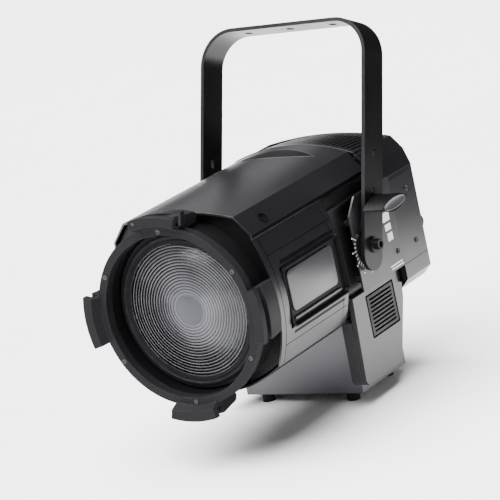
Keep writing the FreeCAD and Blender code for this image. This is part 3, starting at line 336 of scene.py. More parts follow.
def raise_surface(tree, shader, height, strength, distance, **links):
    """Joins a height to the shader as a bump."""
    links = {"Strength": strength, "Distance": distance, "Height": height, **links}
    bump = add_node(tree, "ShaderNodeBump", links)
    tree.links.new(bump.outputs["Normal"], shader.inputs["Normal"])


def paint(
    name,
    colour,
    smooth,
    rough,
    metal=0.0,
    grain=900.0,
    depth=0.12,
    wavy=0.3,
    rubbed=(0.14, 0.14, 0.145),
    wear=0.35,
    radius=EDGE_RADIUS,
    brushed=None,
    specular=0.5,
    dull_front=False,
):
    """A painted, moulded or plain metal finish.

    Its roughness drifts from smooth to rough, its edges look rounded by the radius and are rubbed by
    the wear, and its surface has a fine grain, or drawn lines where brushed gives their stretch. A dull
    front makes the faces that look forwards matt.
    """
    material, tree, shader, place = shade(name)
    if wear:
        links = {"Vector": place, "Finish": (*colour, 1.0), "Rubbed": (*rubbed, 1.0), "Amount": wear}
        colour_out = effect(tree, "Edge wear", links).outputs["Color"]
    else:
        low, high = tuple(c * 0.92 for c in colour), tuple(c * 1.08 for c in colour)
        colour_out = mixed(tree, noise(tree, place, 24.0, detail=3.0), (*low, 1.0), (*high, 1.0))
    tree.links.new(colour_out, shader.inputs["Base Color"])
    roughness = effect(tree, "Cloudy sheen", {"Vector": place, "Low": smooth, "High": rough}).outputs["Value"]
    if dull_front:
        normal = add_node(tree, "ShaderNodeNewGeometry").outputs["True Normal"]
        facing = add_node(tree, "ShaderNodeSeparateXYZ", {0: normal}).outputs["Y"]
        roughness = maths(tree, "ADD", roughness, remap(tree, facing, -0.2, -0.3), clamp=True)
    tree.links.new(roughness, shader.inputs["Roughness"])
    shader.inputs["Metallic"].default_value = metal
    shader.inputs["Specular IOR Level"].default_value = specular
    if brushed:
        surface = effect(tree, "Brushed lines", {"Vector": place, "Stretch": brushed})
    else:
        surface = effect(tree, "Fine grain", {"Vector": place, "Scale": grain, "Waviness": wavy})
    soft = add_node(tree, "ShaderNodeBevel", {"Radius": radius}, samples=3).outputs[0]
    raise_surface(tree, shader, surface.outputs["Height"], depth, BUMP_HEIGHT, Normal=soft)
    return material


def lens_glass():
    """Clear pressed glass with a crossed texture outside its middle, and a painted glint across each zone."""
    material, tree, shader, place = shade("Pressed lens glass")
    look = bpy.context.scene.spotlight_lens
    links = {
        "Vector": place,
        "Clear radius": look.clear_radius,
        "Rim radius": look.outer_radius,
        "Zone width": (look.outer_radius - look.clear_radius) / look.zones,
    }
    weave = effect(tree, "Prism weave", links)
    tone = mixed(tree, weave.outputs["Mask"], (0.055, 0.055, 0.068, 1.0), (0.006, 0.006, 0.0065, 1.0))
    # painted highlight: each zone's colour rises to light grey across its width, standing for the glint of
    # its step
    glinting_colour = mixed(tree, weave.outputs["Zone"], tone, (0.24, 0.24, 0.26, 1.0))
    tree.links.new(glinting_colour, shader.inputs["Base Color"])
    shader.inputs["Transmission Weight"].default_value = 0.3
    shader.inputs["IOR"].default_value = 1.5
    shader.inputs["Roughness"].default_value = 0.16
    shader.inputs["Specular IOR Level"].default_value = 0.16
    raise_surface(tree, shader, weave.outputs["Height"], 0.35, WEAVE_HEIGHT)
    return material


def screen_glass():
    """Dark tinted cover glass of the display."""
    material, tree, shader, place = shade("Display glass")
    tone = remap(tree, noise(tree, place, 120.0, detail=1.0), 0.0, 1.0, 0.006, 0.014)
    colour = add_node(tree, "ShaderNodeCombineColor", {0: tone, 1: tone, 2: tone})
    tree.links.new(colour.outputs[0], shader.inputs["Base Color"])
    shader.inputs["Roughness"].default_value = 0.06
    shader.inputs["Coat Weight"].default_value = 0.6
    return material


def make_finishes():
    """Every finish of the spotlight by its material slot."""
    look = bpy.context.scene.spotlight_finish
    shell, casting, black = tuple(look.shell), tuple(look.casting), tuple(look.black)
    return {
        "cast_grey": paint(
            "Sprayed casting",
            casting,
            0.42,
            0.54,
            grain=2400.0,
            depth=0.06,
            wavy=0.1,
            wear=0.3,
            specular=0.05,
        ),
        "black_metal": paint(
            "Black powder coat",
            black,
            0.3,
            0.38,
            grain=2600.0,
            depth=0.04,
            wavy=0.05,
            wear=0.15,
            specular=0.3,
        ),
        "black_alloy": paint(
            "Black coated alloy",
            black,
            0.3,
            0.42,
            grain=2400.0,
            depth=0.05,
            wavy=0.05,
            wear=0.2,
            specular=0.2,
        ),
        "cover_grey": paint(
            "Moulded cover", shell, 0.285, 0.31, grain=700.0, depth=0.008, wavy=0.0, wear=0.0, specular=0.7
        ),
        "panel_grey": paint(
            "Sprayed panel", shell, 0.3, 0.35, grain=700.0, depth=0.008, wavy=0.0, wear=0.0, specular=0.75
        ),
        "black_plastic": paint(
            "Black moulding", black, 0.36, 0.5, grain=1000.0, depth=0.15, wear=0.2, specular=0.25
        ),
        "gloss_black": paint(
            "Black trim", black, 0.3, 0.4, grain=700.0, depth=0.01, wavy=0.0, wear=0.0, specular=0.06
        ),
        "inset_grey": paint(
            "Inset plate",
            tuple(look.inset),
            0.285,
            0.33,
            grain=2600.0,
            depth=0.02,
            wavy=0.05,
            wear=0.08,
            specular=0.6,
        ),
        "lens_glass": lens_glass(),
        "ground_riser": paint(
            "Ground riser", (0.12, 0.12, 0.132), 0.29, 0.4, grain=1500.0, depth=0.2, wear=0.0, radius=0.0
        ),
        "screen_glass": screen_glass(),
        "steel": paint(
            "Zinc plated steel", (0.42, 0.42, 0.43), 0.29, 0.36, metal=1.0, grain=1600.0, depth=0.12, wear=0.0
        ),
        "sink_alloy": paint(
            "Extruded sink alloy",
            (0.48, 0.48, 0.49),
            0.3,
            0.42,
            metal=1.0,
            brushed=(1500.0, 20.0, 1500.0),
            depth=0.2,
            wear=0.0,
        ),
        "board": paint("Circuit board", (0.012, 0.06, 0.03), 0.35, 0.5, grain=900.0, depth=0.1, wear=0.0),
        "phosphor": paint(
            "Emitter phosphor", (0.75, 0.6, 0.16), 0.4, 0.55, grain=2000.0, depth=0.15, wear=0.0
        ),
        "reflector_alloy": paint(
            "Bright reflector", (0.82, 0.82, 0.83), 0.08, 0.16, metal=1.0, grain=500.0, depth=0.06, wear=0.0
        ),
        "rubber": paint(
            "Black rubber", (0.008, 0.008, 0.008), 0.6, 0.8, grain=1500.0, depth=0.2, wear=0.0, specular=0.15
        ),
        # near black: the real dark joints of the shut lines, the vent rims, and painted shade in the screw
        # wells, the corner gap, behind the vent louvres and under the top cover's edge
        "shadow_gap": paint(
            "Dark joint and painted shade", (0.002, 0.002, 0.002), 0.7, 0.9, grain=1500.0, depth=0.05, wear=0.0, specular=0.02
        ),
        # painted light: the cover colour made eleven times lighter for the base's front panel, which stands
        # in the head's shade
        "painted_light_panel": paint(
            "Base panel lightened as painted light",
            tuple(c * 11.0 for c in shell),
            0.3,
            0.36,
            grain=2600.0,
            depth=0.03,
            wavy=0.05,
            wear=0.2,
            specular=0.6,
        ),
        "lined_cover": paint(
            "Cover with dull front return",
            shell,
            0.285,
            0.31,
            grain=2600.0,
            depth=0.02,
            wavy=0.05,
            wear=0.1,
            specular=0.75,
            dull_front=True,
        ),
        "eye_rim": paint(
            "Polished rim",
            tuple(c * 3.0 for c in shell),
            0.285,
            0.3,
            grain=2600.0,
            depth=0.02,
            wavy=0.05,
            wear=0.0,
            specular=0.8,
        ),
        "black_screw": paint(
            "Blackened screw",
            (0.03, 0.03, 0.032),
            0.3,
            0.42,
            metal=0.6,
            grain=1600.0,
            depth=0.12,
            wear=0.4,
            rubbed=(0.25, 0.25, 0.26),
        ),
        "print_white": paint("White print", (0.55, 0.55, 0.57), 0.4, 0.5, grain=1500.0, depth=0.05, wear=0.0),
        "button_rubber": paint(
            "Button rubber", (0.05, 0.05, 0.052), 0.5, 0.62, grain=1500.0, depth=0.2, wear=0.15
        ),
    }


FINISH = {}
OWN_FINISH = {
    # the base's front panel takes the lightened copy of the cover colour, painted light
    "base_box": "painted_light_panel",
    "left_base_cover": "lined_cover",
    "right_base_cover": "lined_cover",
    "lock_studs": "black_screw",
    "pivot_pins": "black_alloy",
    "left_lock_wing": "gloss_black",
    "right_lock_wing": "gloss_black",
    "latch_pin": "black_screw",
}


# ----------------------------------------------------------- modelling helpers


def only(obj):
    """Selects this object alone."""
    bpy.ops.object.select_all(action="DESELECT")
    obj.select_set(True)
    bpy.context.view_layer.objects.active = obj
    return obj


def choose(obj, kind, test):
    """Opens the piece for editing with only the faces, edges or vertices chosen that pass the test."""
    only(obj)
    bpy.ops.object.mode_set(mode="EDIT")
    bpy.ops.mesh.select_mode(type=kind)
    bpy.ops.mesh.select_all(action="DESELECT")
    bpy.ops.object.mode_set(mode="OBJECT")
    parts = {"FACE": obj.data.polygons, "EDGE": obj.data.edges, "VERT": obj.data.vertices}[kind]
    for part in parts:
        part.select = bool(test(part))
    bpy.ops.object.mode_set(mode="EDIT")


def close(obj, smooth=None):
    """Ends editing with clean outward faces, smooth below the angle given in degrees."""
    bpy.ops.mesh.select_all(action="SELECT")
    bpy.ops.mesh.remove_doubles(threshold=0.00001)
    bpy.ops.mesh.normals_make_consistent(inside=False)
    bpy.ops.object.mode_set(mode="OBJECT")
    if smooth:
        only(obj)
        bpy.ops.object.shade_smooth_by_angle(angle=math.radians(smooth))


def primitive(kind, place, turn=(0.0, 0.0, 0.0), **size):
    """Adds a primitive at its place, turned by degrees, with nothing else selected."""
    bpy.ops.object.select_all(action="DESELECT")
    getattr(bpy.ops.mesh, f"primitive_{kind}_add")(
        location=place, rotation=[math.radians(v) for v in turn], **size
    )
    obj = bpy.context.object
    bpy.ops.object.transform_apply(location=False, rotation=True, scale=True)
    return obj


def along(axis, sign=1.0):
    """Picks faces that look along an axis."""
    return lambda face: face.normal[axis] * sign > 0.95


def join(pieces):
    """Makes one piece of several."""
    bpy.ops.object.select_all(action="DESELECT")
    for piece in pieces:
        piece.select_set(True)
    bpy.context.view_layer.objects.active = pieces[0]
    bpy.ops.object.join()
    return bpy.context.object


def placed(obj, place, normal):
    """Stands a piece made about the origin at its place, its top turned to the normal."""
    turn = Vector((0.0, 0.0, 1.0)).rotation_difference(Vector(normal)).to_matrix().to_4x4()
    obj.matrix_world = Matrix.Translation(place) @ turn
    only(obj)
    bpy.ops.object.transform_apply(location=True, rotation=True, scale=True)
    return obj


def chamfer(obj, width, segments=2, angle=35.0):
    """Breaks every sharp edge of a piece."""
    only(obj)
    bpy.ops.object.modifier_add(type="BEVEL")
    edge = obj.modifiers[-1]
    edge.width = width
    edge.segments = segments
    edge.limit_method = "ANGLE"
    edge.angle_limit = math.radians(angle)
    bpy.ops.object.modifier_apply(modifier=edge.name)
    bpy.ops.object.shade_smooth_by_angle(angle=math.radians(30.0))
    return obj


def screw(place, normal, radius, height, socket=0.55):
    """A cap screw with a hexagon socket."""
    head = primitive("cylinder", (0.0, 0.0, 0.0), vertices=24, radius=radius, depth=height)
    choose(head, "FACE", along(2))
    bpy.ops.mesh.inset(thickness=radius * (1.0 - socket))
    bpy.ops.object.mode_set(mode="OBJECT")
    for index in {index for face in head.data.polygons if face.select for index in face.vertices}:
        point = head.data.vertices[index].co
        angle = math.atan2(point.y, point.x)
        reach = radius * socket * math.cos(math.pi / 6) / math.cos(angle % (math.pi / 3) - math.pi / 6)
        point.x, point.y = reach * math.cos(angle), reach * math.sin(angle)
    bpy.ops.object.mode_set(mode="EDIT")
    bpy.ops.mesh.extrude_region_move(TRANSFORM_OT_translate={"value": (0.0, 0.0, -height * 0.6)})
    close(head)
    chamfer(head, radius * 0.09)
    return placed(head, place, normal)


def slab(low, high, axis, corner, edge):
    """A flat plate between two corners, its outline rounded about an axis and its rims broken."""
    low, high = Vector(low), Vector(high)
    plate = primitive("cube", (low + high) / 2, size=1.0)
    plate.scale = high - low
    only(plate)
    bpy.ops.object.transform_apply(location=True, rotation=True, scale=True)
    ends = [vertex.co.copy() for vertex in plate.data.vertices]
    choose(
        plate, "EDGE", lambda e: abs((ends[e.vertices[0]] - ends[e.vertices[1]]).normalized()[axis]) > 0.99
    )
    bpy.ops.mesh.bevel(offset=corner, segments=7, affect="EDGES")
    close(plate)
    if edge:
        chamfer(plate, edge)
    return plate


def ribbon(start, end, width, normal, steps):
    """A flat strip between two places, its face turned to the normal."""
    length = (end - start).length
    forward, up = (end - start).normalized(), Vector(normal)
    across = up.cross(forward)
    strip = primitive("grid", (0.0, 0.0, 0.0), x_subdivisions=steps, y_subdivisions=1, size=1.0)
    basis = Matrix((forward * length, across * width, up)).transposed().to_4x4()
    strip.matrix_world = Matrix.Translation((start + end) / 2) @ basis
    only(strip)
    bpy.ops.object.transform_apply(location=True, rotation=True, scale=True)
    return strip


def lay_on(obj, node, axis, sign, lift=0.00008, wall=0.0004):
    """Presses a flat piece onto a part, seen along an axis, and gives it a wall that goes inwards."""
    only(obj)
    bpy.ops.object.modifier_add(type="SHRINKWRAP")
    wrap = obj.modifiers[-1]
    wrap.target = frame["nodes"][node]
    wrap.wrap_method = "PROJECT"
    setattr(wrap, "use_project_" + "xyz"[axis], True)
    wrap.use_negative_direction = sign > 0
    wrap.use_positive_direction = sign < 0
    wrap.offset = lift
    bpy.ops.object.modifier_apply(modifier=wrap.name)
    bpy.ops.object.modifier_add(type="SOLIDIFY")
    solid = obj.modifiers[-1]
    solid.thickness = wall
    solid.offset = -1.0
    bpy.ops.object.modifier_apply(modifier=solid.name)
    return obj


def block(near, far, y, z, length, height):
    """A thin rectangle on a side face, between two x, about its middle."""
    low = at(near, y - length / 2, z - height / 2)
    high = at(far, y + length / 2, z + height / 2)
    return slab(low, high, 0, 0.8 * MM, 0.0)


def layer(surface, sign, under, over):
    """The low and high x of a thin layer on a side face, from under its surface to over it."""
    return sorted(((surface - under) * sign, (surface + over) * sign))


def settle(obj, name, body, slot, *nodes):
    """Names a finished piece, puts its place in its mesh, gives it its finish and hangs it on its body."""
    only(obj)
    obj.name = name
    obj.data.name = name
    bpy.ops.object.transform_apply(location=True, rotation=True, scale=True)
    obj.data.materials.clear()
    obj.data.materials.append(FINISH[slot])
    if nodes:
        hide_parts(*nodes)
    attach(obj, body)
    return obj


# ------------------------------------------------------------------ properties


class FinishSettings(bpy.types.PropertyGroup):
    shell: FloatVectorProperty(
        name="Cover",
        description="Colour of the moulded covers",
        default=(0.0055, 0.005, 0.0068),
        subtype="COLOR",
        min=0.0,
        max=1.0,
    )
    casting: FloatVectorProperty(
        name="Casting",
        description="Colour of the sprayed castings",
        default=(0.009, 0.0089, 0.0102),
        subtype="COLOR",
        min=0.0,
        max=1.0,
    )
    black: FloatVectorProperty(
        name="Black parts",
        description="Colour of the black metal and plastic",
        default=(0.003, 0.003, 0.0034),
        subtype="COLOR",
        min=0.0,
        max=1.0,
    )
    inset: FloatVectorProperty(
        name="Inset",
        description="Colour of the plates set into the side windows",
        default=(0.03, 0.03, 0.033),
        subtype="COLOR",
        min=0.0,
        max=1.0,
    )


class LensSettings(bpy.types.PropertyGroup):
    zones: IntProperty(
        name="Zones", description="Number of stepped zones of the lens", default=17, min=6, max=40
    )
    outer_radius: FloatProperty(
        name="Stepped radius",
        description="Radius of the outermost step",
        default=0.0975,
        unit="LENGTH",
        subtype="DISTANCE",
    )
    clear_radius: FloatProperty(
        name="Clear radius",
        description="Radius of the plain middle of the lens",
        default=0.0235,
        unit="LENGTH",
        subtype="DISTANCE",
    )
    land: FloatProperty(
        name="Tip width",
        description="Width of the ground land on each step's tip",
        default=0.0004,
        unit="LENGTH",
        subtype="DISTANCE",
    )
    steepest: FloatProperty(
        name="Step depth",
        description="Depth of the outermost step",
        default=0.0026,
        unit="LENGTH",
        subtype="DISTANCE",
    )


class StageSettings(bpy.types.PropertyGroup):
    lens: FloatProperty(
        name="Focal length", description="Focal length of the camera in millimetres", default=188.21, min=20.0
    )
    key: FloatProperty(
        name="Side light", description="Power of the large light on the right", default=40.0, min=0.0
    )
    fill: FloatProperty(
        name="Front light", description="Power of the light in front on the left", default=8.0, min=0.0
    )
    back: FloatProperty(
        name="Back light", description="Power of the light behind on the left", default=5.0, min=0.0
    )
    top: FloatProperty(
        name="Top light", description="Strength of the broad light overhead", default=18.0, min=0.0
    )
    backdrop: FloatProperty(
        name="Backdrop", description="Brightness of the plain backdrop beyond the floor", default=5.0, min=0.0
    )
    ambient: FloatProperty(
        name="Room light", description="Strength of the light from all round", default=0.05, min=0.0
    )


# ------------------------------------------------------------------- operators


class SPOT_OT_finish_parts(bpy.types.Operator):
    """Gives every part of the frame its finish"""

    bl_idname = "spotlight.finish_parts"
    bl_label = "Finish the frame's parts"

    def execute(self, context):
        FINISH.update(make_finishes())
        slots = {part["node"]: part["material_slot"] for part in frame["record"]["subparts"]}
        for node, obj in frame["nodes"].items():
            obj.data.materials.clear()
            obj.data.materials.append(FINISH[OWN_FINISH.get(node, slots[node])])
        return {"FINISHED"}


class SPOT_OT_lens(bpy.types.Operator):
    """Presses the stepped lens: sloped zones with ground risers round a plain domed middle"""

    bl_idname = "spotlight.lens"
    bl_label = "Press the lens"

    def execute(self, context):
        look = context.scene.spotlight_lens
        low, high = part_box("lens")
        rim = (high.x - low.x) / 2
        zones = look.zones
        back, tip = high.y, PIVOT.y + LENS_FACE * MM
        riser = RISER_RUN * MM
        disc = primitive(
            "circle",
            (PIVOT.x, back, PIVOT.z),
            turn=(90.0, 0.0, 0.0),
            vertices=160,
            radius=rim,
            fill_type="NGON",
        )
        choose(disc, "FACE", lambda face: True)
        bpy.ops.mesh.extrude_region_move(TRANSFORM_OT_translate={"value": (0.0, tip - back, 0.0)})
        bpy.ops.mesh.inset(thickness=rim - look.outer_radius)
        width = (look.outer_radius - look.clear_radius) / zones
        lands = []
        for zone in range(zones):
            radius = look.outer_radius - width * zone
            step = look.steepest * radius / look.outer_radius
            land = look.land * (0.75 + 0.5 * (zone % 3 == 0))
            bpy.ops.mesh.inset(thickness=riser, depth=-step)
            bpy.ops.mesh.inset(thickness=width - land - riser, depth=step)
            bpy.ops.mesh.inset(thickness=land)
            lands.append((radius - width, radius - width + land))
        for fall, run in DOME:
            bpy.ops.mesh.inset(thickness=run * MM, depth=fall * MM)
        close(disc, smooth=12.0)
        settle(disc, "stepped_lens", "lens_carriage", "lens_glass", "lens")
        disc.data.materials.append(FINISH["ground_riser"])
        for face in disc.data.polygons:
            across = math.hypot(face.center.x - PIVOT.x, face.center.z - PIVOT.z)
            if face.normal.y < -0.999 and any(inner < across < outer for inner, outer in lands):
                face.material_index = 1
        return {"FINISHED"}


class SPOT_OT_lens_holder(bpy.types.Operator):
    """Turns the stepped ring that holds the lens in its tube"""

    bl_idname = "spotlight.lens_holder"
    bl_label = "Turn the lens holder"

    def execute(self, context):
        outer = HOLDER_RADIUS * MM
        ring = primitive(
            "circle",
            at(0.0, HOLDER_BACK, 0.0),
            turn=(90.0, 0.0, 0.0),
            vertices=128,
            radius=outer,
            fill_type="NGON",
        )
        choose(ring, "FACE", lambda face: True)
        bpy.ops.mesh.extrude_region_move(TRANSFORM_OT_translate={"value": (0.0, -HOLDER_WALL * MM, 0.0)})
        for thickness, depth in HOLDER_STEPS:
            bpy.ops.mesh.inset(thickness=thickness * MM, depth=depth * MM)
        bpy.ops.object.mode_set(mode="OBJECT")
        choose(ring, "FACE", lambda face: len(face.vertices) > 4)
        bpy.ops.object.mode_set(mode="OBJECT")
        inner = max((face for face in ring.data.polygons if face.select), key=lambda face: -face.center.y)
        middle = Vector(inner.center)
        reach = (ring.data.vertices[inner.vertices[0]].co - middle).length
        choose(ring, "FACE", lambda face: len(face.vertices) > 4 and face.center.y > middle.y + 0.1 * MM)
        bpy.ops.mesh.inset(thickness=outer - reach)
        bpy.ops.object.mode_set(mode="OBJECT")
        choose(ring, "FACE", lambda face: len(face.vertices) > 4)
        bpy.ops.mesh.bridge_edge_loops()
        close(ring, smooth=24.0)
        settle(ring, "lens_holder_ring", "lens_carriage", "cast_grey", "lens_retainer")
        return {"FINISHED"}


class SPOT_OT_screws(bpy.types.Operator):
    """Makes the cap screws of the front ring, the covers and the side plates"""

    bl_idname = "spotlight.screws"
    bl_label = "Make the screws"

    def execute(self, context):
        heads = []
        for turn in range(RING_SCREWS):
            angle = math.radians(30.0 + 60.0 * turn)
            spot = at(RING_SCREW_CIRCLE * math.cos(angle), RING_FACE, RING_SCREW_CIRCLE * math.sin(angle))
            heads.append(screw(spot, (0.0, -1.0, 0.0), 3.5 * MM, 2.2 * MM))
        settle(join(heads), "ring_cap_screws", "head", "black_screw", "ring_screws")
        heads = []
        for _side, sign in SIDES:
            for y, z in PLATE_SCREWS:
                heads.append(screw(at(PLATE_SCREW_X * sign, y, z), (sign, 0.0, 0.0), 4.0 * MM, 2.0 * MM))
        settle(join(heads), "side_cap_screws", "head", "black_screw", "panel_screws")
        wells = []
        for _side, sign in SIDES:
            for x, y, z, normal in COVER_WELLS:
                normal = Vector((normal[0] * sign, normal[1], normal[2]))
                spot = at(x * sign, y, z)
                well = primitive("cylinder", (0.0, 0.0, 0.0), vertices=32, radius=7.6 * MM, depth=2.4 * MM)
                choose(well, "FACE", along(2))
                bpy.ops.mesh.inset(thickness=0.7 * MM)
                bpy.ops.mesh.inset(thickness=0.5 * MM, depth=-1.6 * MM)
                close(well, smooth=30.0)
                wells.append(placed(well, spot, normal))
                wells.append(screw(spot - normal * 0.4 * MM, normal, 3.6 * MM, 1.2 * MM))
        # the wells and the screws in them are near black: painted shade in the recesses
        settle(join(wells), "cover_screw_wells_painted_shade", "head", "shadow_gap")
        return {"FINISHED"}


class SPOT_OT_windows(bpy.types.Operator):
    """Frames the side windows: a deep rounded black bezel, its inset plate, its sill, and black strips of
    painted shade below and above it
    """

    bl_idname = "spotlight.windows"
    bl_label = "Frame the side windows"

    def execute(self, context):
        for side, sign in SIDES:
            low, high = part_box(f"{side}_window_frame")
            bezel = slab(low, high, 0, 11.0 * MM, 0.0)
            choose(bezel, "FACE", along(0, sign))
            bpy.ops.mesh.inset(thickness=1.4 * MM, depth=0.9 * MM)
            bpy.ops.mesh.inset(thickness=0.6 * MM)
            bpy.ops.mesh.inset(thickness=2.2 * MM, depth=-6.6 * MM)
            close(bezel, smooth=24.0)
            settle(bezel, f"{side}_window_bezel", "head", "gloss_black", f"{side}_window_frame")
            near, far = sorted(x * sign for x in INSET_SPAN)
            plate = slab(at(near, *INSET_PLATE[0]), at(far, *INSET_PLATE[1]), 0, 8.0 * MM, 0.5 * MM)
            settle(plate, f"{side}_window_inset", "head", "inset_grey", f"{side}_window_plate")
            bar = slab(at(near, *WINDOW_SILL[0]), at(far, *WINDOW_SILL[1]), 0, 2.0 * MM, 0.5 * MM)
            settle(bar, f"{side}_window_sill", "head", "cover_grey")
            # these strips are flat black ribbons laid on the side cover: painted shade, not cut grooves
            for name, z, width, front, rear in WINDOW_STRIPS:
                start, end = at(SIDE_REACH * sign, front, z), at(SIDE_REACH * sign, rear, z)
                strip = ribbon(start, end, width * MM, (sign, 0.0, 0.0), 12)
                lay_on(strip, f"{side}_side_cover", 0, sign)
                settle(strip, f"{side}_window_{name}", "head", "gloss_black")
        return {"FINISHED"}


class SPOT_OT_seams(bpy.types.Operator):
    """Draws the shut lines of the moulded covers, a near-black strip of painted shade under the top cover's
    edge and a near-black block of painted shade in the corner gap between the base and rear covers
    """

    bl_idname = "spotlight.seams"
    bl_label = "Draw the shut lines"

    def execute(self, context):
        for side, sign in SIDES:
            reach, facing = SIDE_REACH * sign, (sign, 0.0, 0.0)
            strips = []
            for (y0, z0), (y1, z1), width, steps in SIDE_SEAMS:
                strip = ribbon(at(reach, y0, z0), at(reach, y1, z1), width * MM, facing, steps)
                strips.append(lay_on(strip, f"{side}_side_cover", 0, sign))
            front, rear = REAR_SEAM_SPAN
            for z in REAR_SEAMS:
                strip = ribbon(at(reach, front, z), at(reach, rear, z), 0.8 * MM, facing, 6)
                strips.append(lay_on(strip, "rear_cover", 0, sign))
            settle(join(strips), f"{side}_shut_lines", "head", "shadow_gap")
            # a near-black strip laid under the top cover's edge: painted shade
            front, rear, z = COVER_EDGE_SHADE
            shade_band = ribbon(at(reach, front, z), at(reach, rear, z), 5.0 * MM, facing, 8)
            settle(lay_on(shade_band, "top_cover", 0, sign), f"{side}_cover_edge_painted_shade", "head", "shadow_gap")
            # a near-black block filling the gap between the covers: painted shade
            (x0, y0, z0), (x1, y1, z1) = CORNER_GAP
            near, far = sorted((x0 * sign, x1 * sign))
            shade_filler = slab(at(near, y0, z0), at(far, y1, z1), 0, 0.6 * MM, 0.0)
            settle(shade_filler, f"{side}_corner_painted_shade", "head", "shadow_gap")
        return {"FINISHED"}


class SPOT_OT_scales(bpy.types.Operator):
    """Prints the tilt scale and the blank label fields on each side plate"""

    bl_idname = "spotlight.scales"
    bl_label = "Print the tilt scales"

    def execute(self, context):
        for side, sign in SIDES:
            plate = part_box(f"{side}_side_plate")[1 if sign > 0 else 0].x / MM * sign
            near, far = plate - 0.1, plate + 0.3
            marks, dots = [], []
            for step in range(SCALE_MARKS):
                angle = math.radians(SCALE_START + SCALE_STEP * step)
                long_mark = step % 3 == 0
                inner, outer = TICK_INNER, LONG_TICK_OUTER if long_mark else TICK_OUTER
                low = (near * MM, inner * MM, -TICK_HALF_WIDTH * MM)
                high = (far * MM, outer * MM, TICK_HALF_WIDTH * MM)
                mark = slab(low, high, 0, 0.2 * MM, 0.0)
                mark.matrix_world = Matrix.Translation(PIVOT) @ Matrix.Rotation(angle, 4, "X")
                marks.append(mark)
                if long_mark:
                    dot = primitive(
                        "cylinder",
                        (0.0, 0.0, 0.0),
                        turn=(0.0, 90.0, 0.0),
                        vertices=16,
                        radius=DOT_RADIUS * MM,
                        depth=(far - near) * MM,
                    )
                    dot.location = at(
                        (near + far) / 2, DOT_CIRCLE * math.cos(angle), DOT_CIRCLE * math.sin(angle)
                    )
                    dots.append(dot)
            for group, name in ((marks, "ticks"), (dots, "dots")):
                for piece in group:
                    only(piece)
                    bpy.ops.object.transform_apply(location=True, rotation=True, scale=True)
                    if sign < 0:
                        for vertex in piece.data.vertices:
                            vertex.co.x = -vertex.co.x
                        only(piece)
                        bpy.ops.object.mode_set(mode="EDIT")
                        close(piece)
                settle(join(group), f"{side}_tilt_scale_{name}", "head", "print_white")
            near, far = layer(plate, sign, 0.1, 0.2)
            fields = [block(near, far, *field) for field in LABEL_FIELDS]
            settle(join(fields), f"{side}_blank_labels", "head", "print_white")
        return {"FINISHED"}


class SPOT_OT_vents(bpy.types.Operator):
    """Frames the vent grilles of the base covers and closes the view behind their louvres with a near-black
    wall of painted shade
    """

    bl_idname = "spotlight.vents"
    bl_label = "Frame the vents"

    def execute(self, context):
        for side, sign in SIDES:
            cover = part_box(f"{side}_base_cover")[1 if sign > 0 else 0].x / MM * sign
            near, far = layer(cover, sign, 0.2, 0.3)
            pieces = [block(near, far, *bar) for bar in VENT_RIM]
            # the near-black wall behind the louvres is painted shade of the base's inside
            near, far = layer(cover, sign, 5.0, -4.0)
            pieces.append(slab(at(near, *VENT_SHADE_WALL[0]), at(far, *VENT_SHADE_WALL[1]), 0, 1.0 * MM, 0.0))
            settle(join(pieces), f"{side}_vent_rim_and_painted_shade", "head", "shadow_gap")
        return {"FINISHED"}


class SPOT_OT_trims(bpy.types.Operator):
    """Makes the ovals of the tilt locks, the eye-shaped inlay on the top cover and the display's bezel"""

    bl_idname = "spotlight.trims"
    bl_label = "Make the trims"

    def execute(self, context):
        for side, sign in SIDES:
            low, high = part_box(f"{side}_lock_wing")
            middle = (low + high) / 2
            face = high.x if sign > 0 else low.x
            oval = primitive(
                "circle",
                (face, middle.y, middle.z),
                turn=(0.0, 90.0 * sign, 0.0),
                vertices=48,
                radius=1.0,
                fill_type="NGON",
            )
            for vertex in oval.data.vertices:
                vertex.co.y *= LOCK_OVAL[0] * MM
                vertex.co.z *= LOCK_OVAL[1] * MM
            choose(oval, "FACE", lambda f: True)
            bpy.ops.mesh.extrude_region_move(TRANSFORM_OT_translate={"value": (0.5 * MM * sign, 0.0, 0.0)})
            bpy.ops.mesh.inset(thickness=0.7 * MM, depth=0.35 * MM)
            bpy.ops.mesh.inset(thickness=0.9 * MM, depth=-0.3 * MM)
            close(oval, smooth=20.0)
            settle(oval, f"{side}_lock_oval", f"{side}_lock", "inset_grey")
        for name, slot, half_length, half_width, lift in EYE_LAYERS:
            eye = primitive("grid", at(*EYE_CENTRE), x_subdivisions=48, y_subdivisions=8, size=2.0)
            for vertex in eye.data.vertices:
                across = vertex.co.x
                vertex.co.x = across * half_length * MM
                vertex.co.y *= half_width * MM * (1.0 - across * across)
            only(eye)
            bpy.ops.object.mode_set(mode="EDIT")
            close(eye)
            bpy.ops.object.transform_apply(location=True, rotation=True, scale=True)
            lay_on(eye, "top_cover", 2, 1.0, lift=lift * MM, wall=1.2 * MM)
            settle(eye, f"top_eye_{name}", "head", slot)
        bezel = slab(at(*DISPLAY_BEZEL[0]), at(*DISPLAY_BEZEL[1]), 1, 4.0 * MM, 0.0)
        choose(bezel, "FACE", lambda f: abs(f.normal.y) > 0.95)
        bpy.ops.mesh.inset(thickness=5.4 * MM)
        bpy.ops.mesh.bridge_edge_loops()
        close(bezel)
        chamfer(bezel, 0.5 * MM)
        settle(bezel, "display_bezel", "head", "gloss_black")
        return {"FINISHED"}


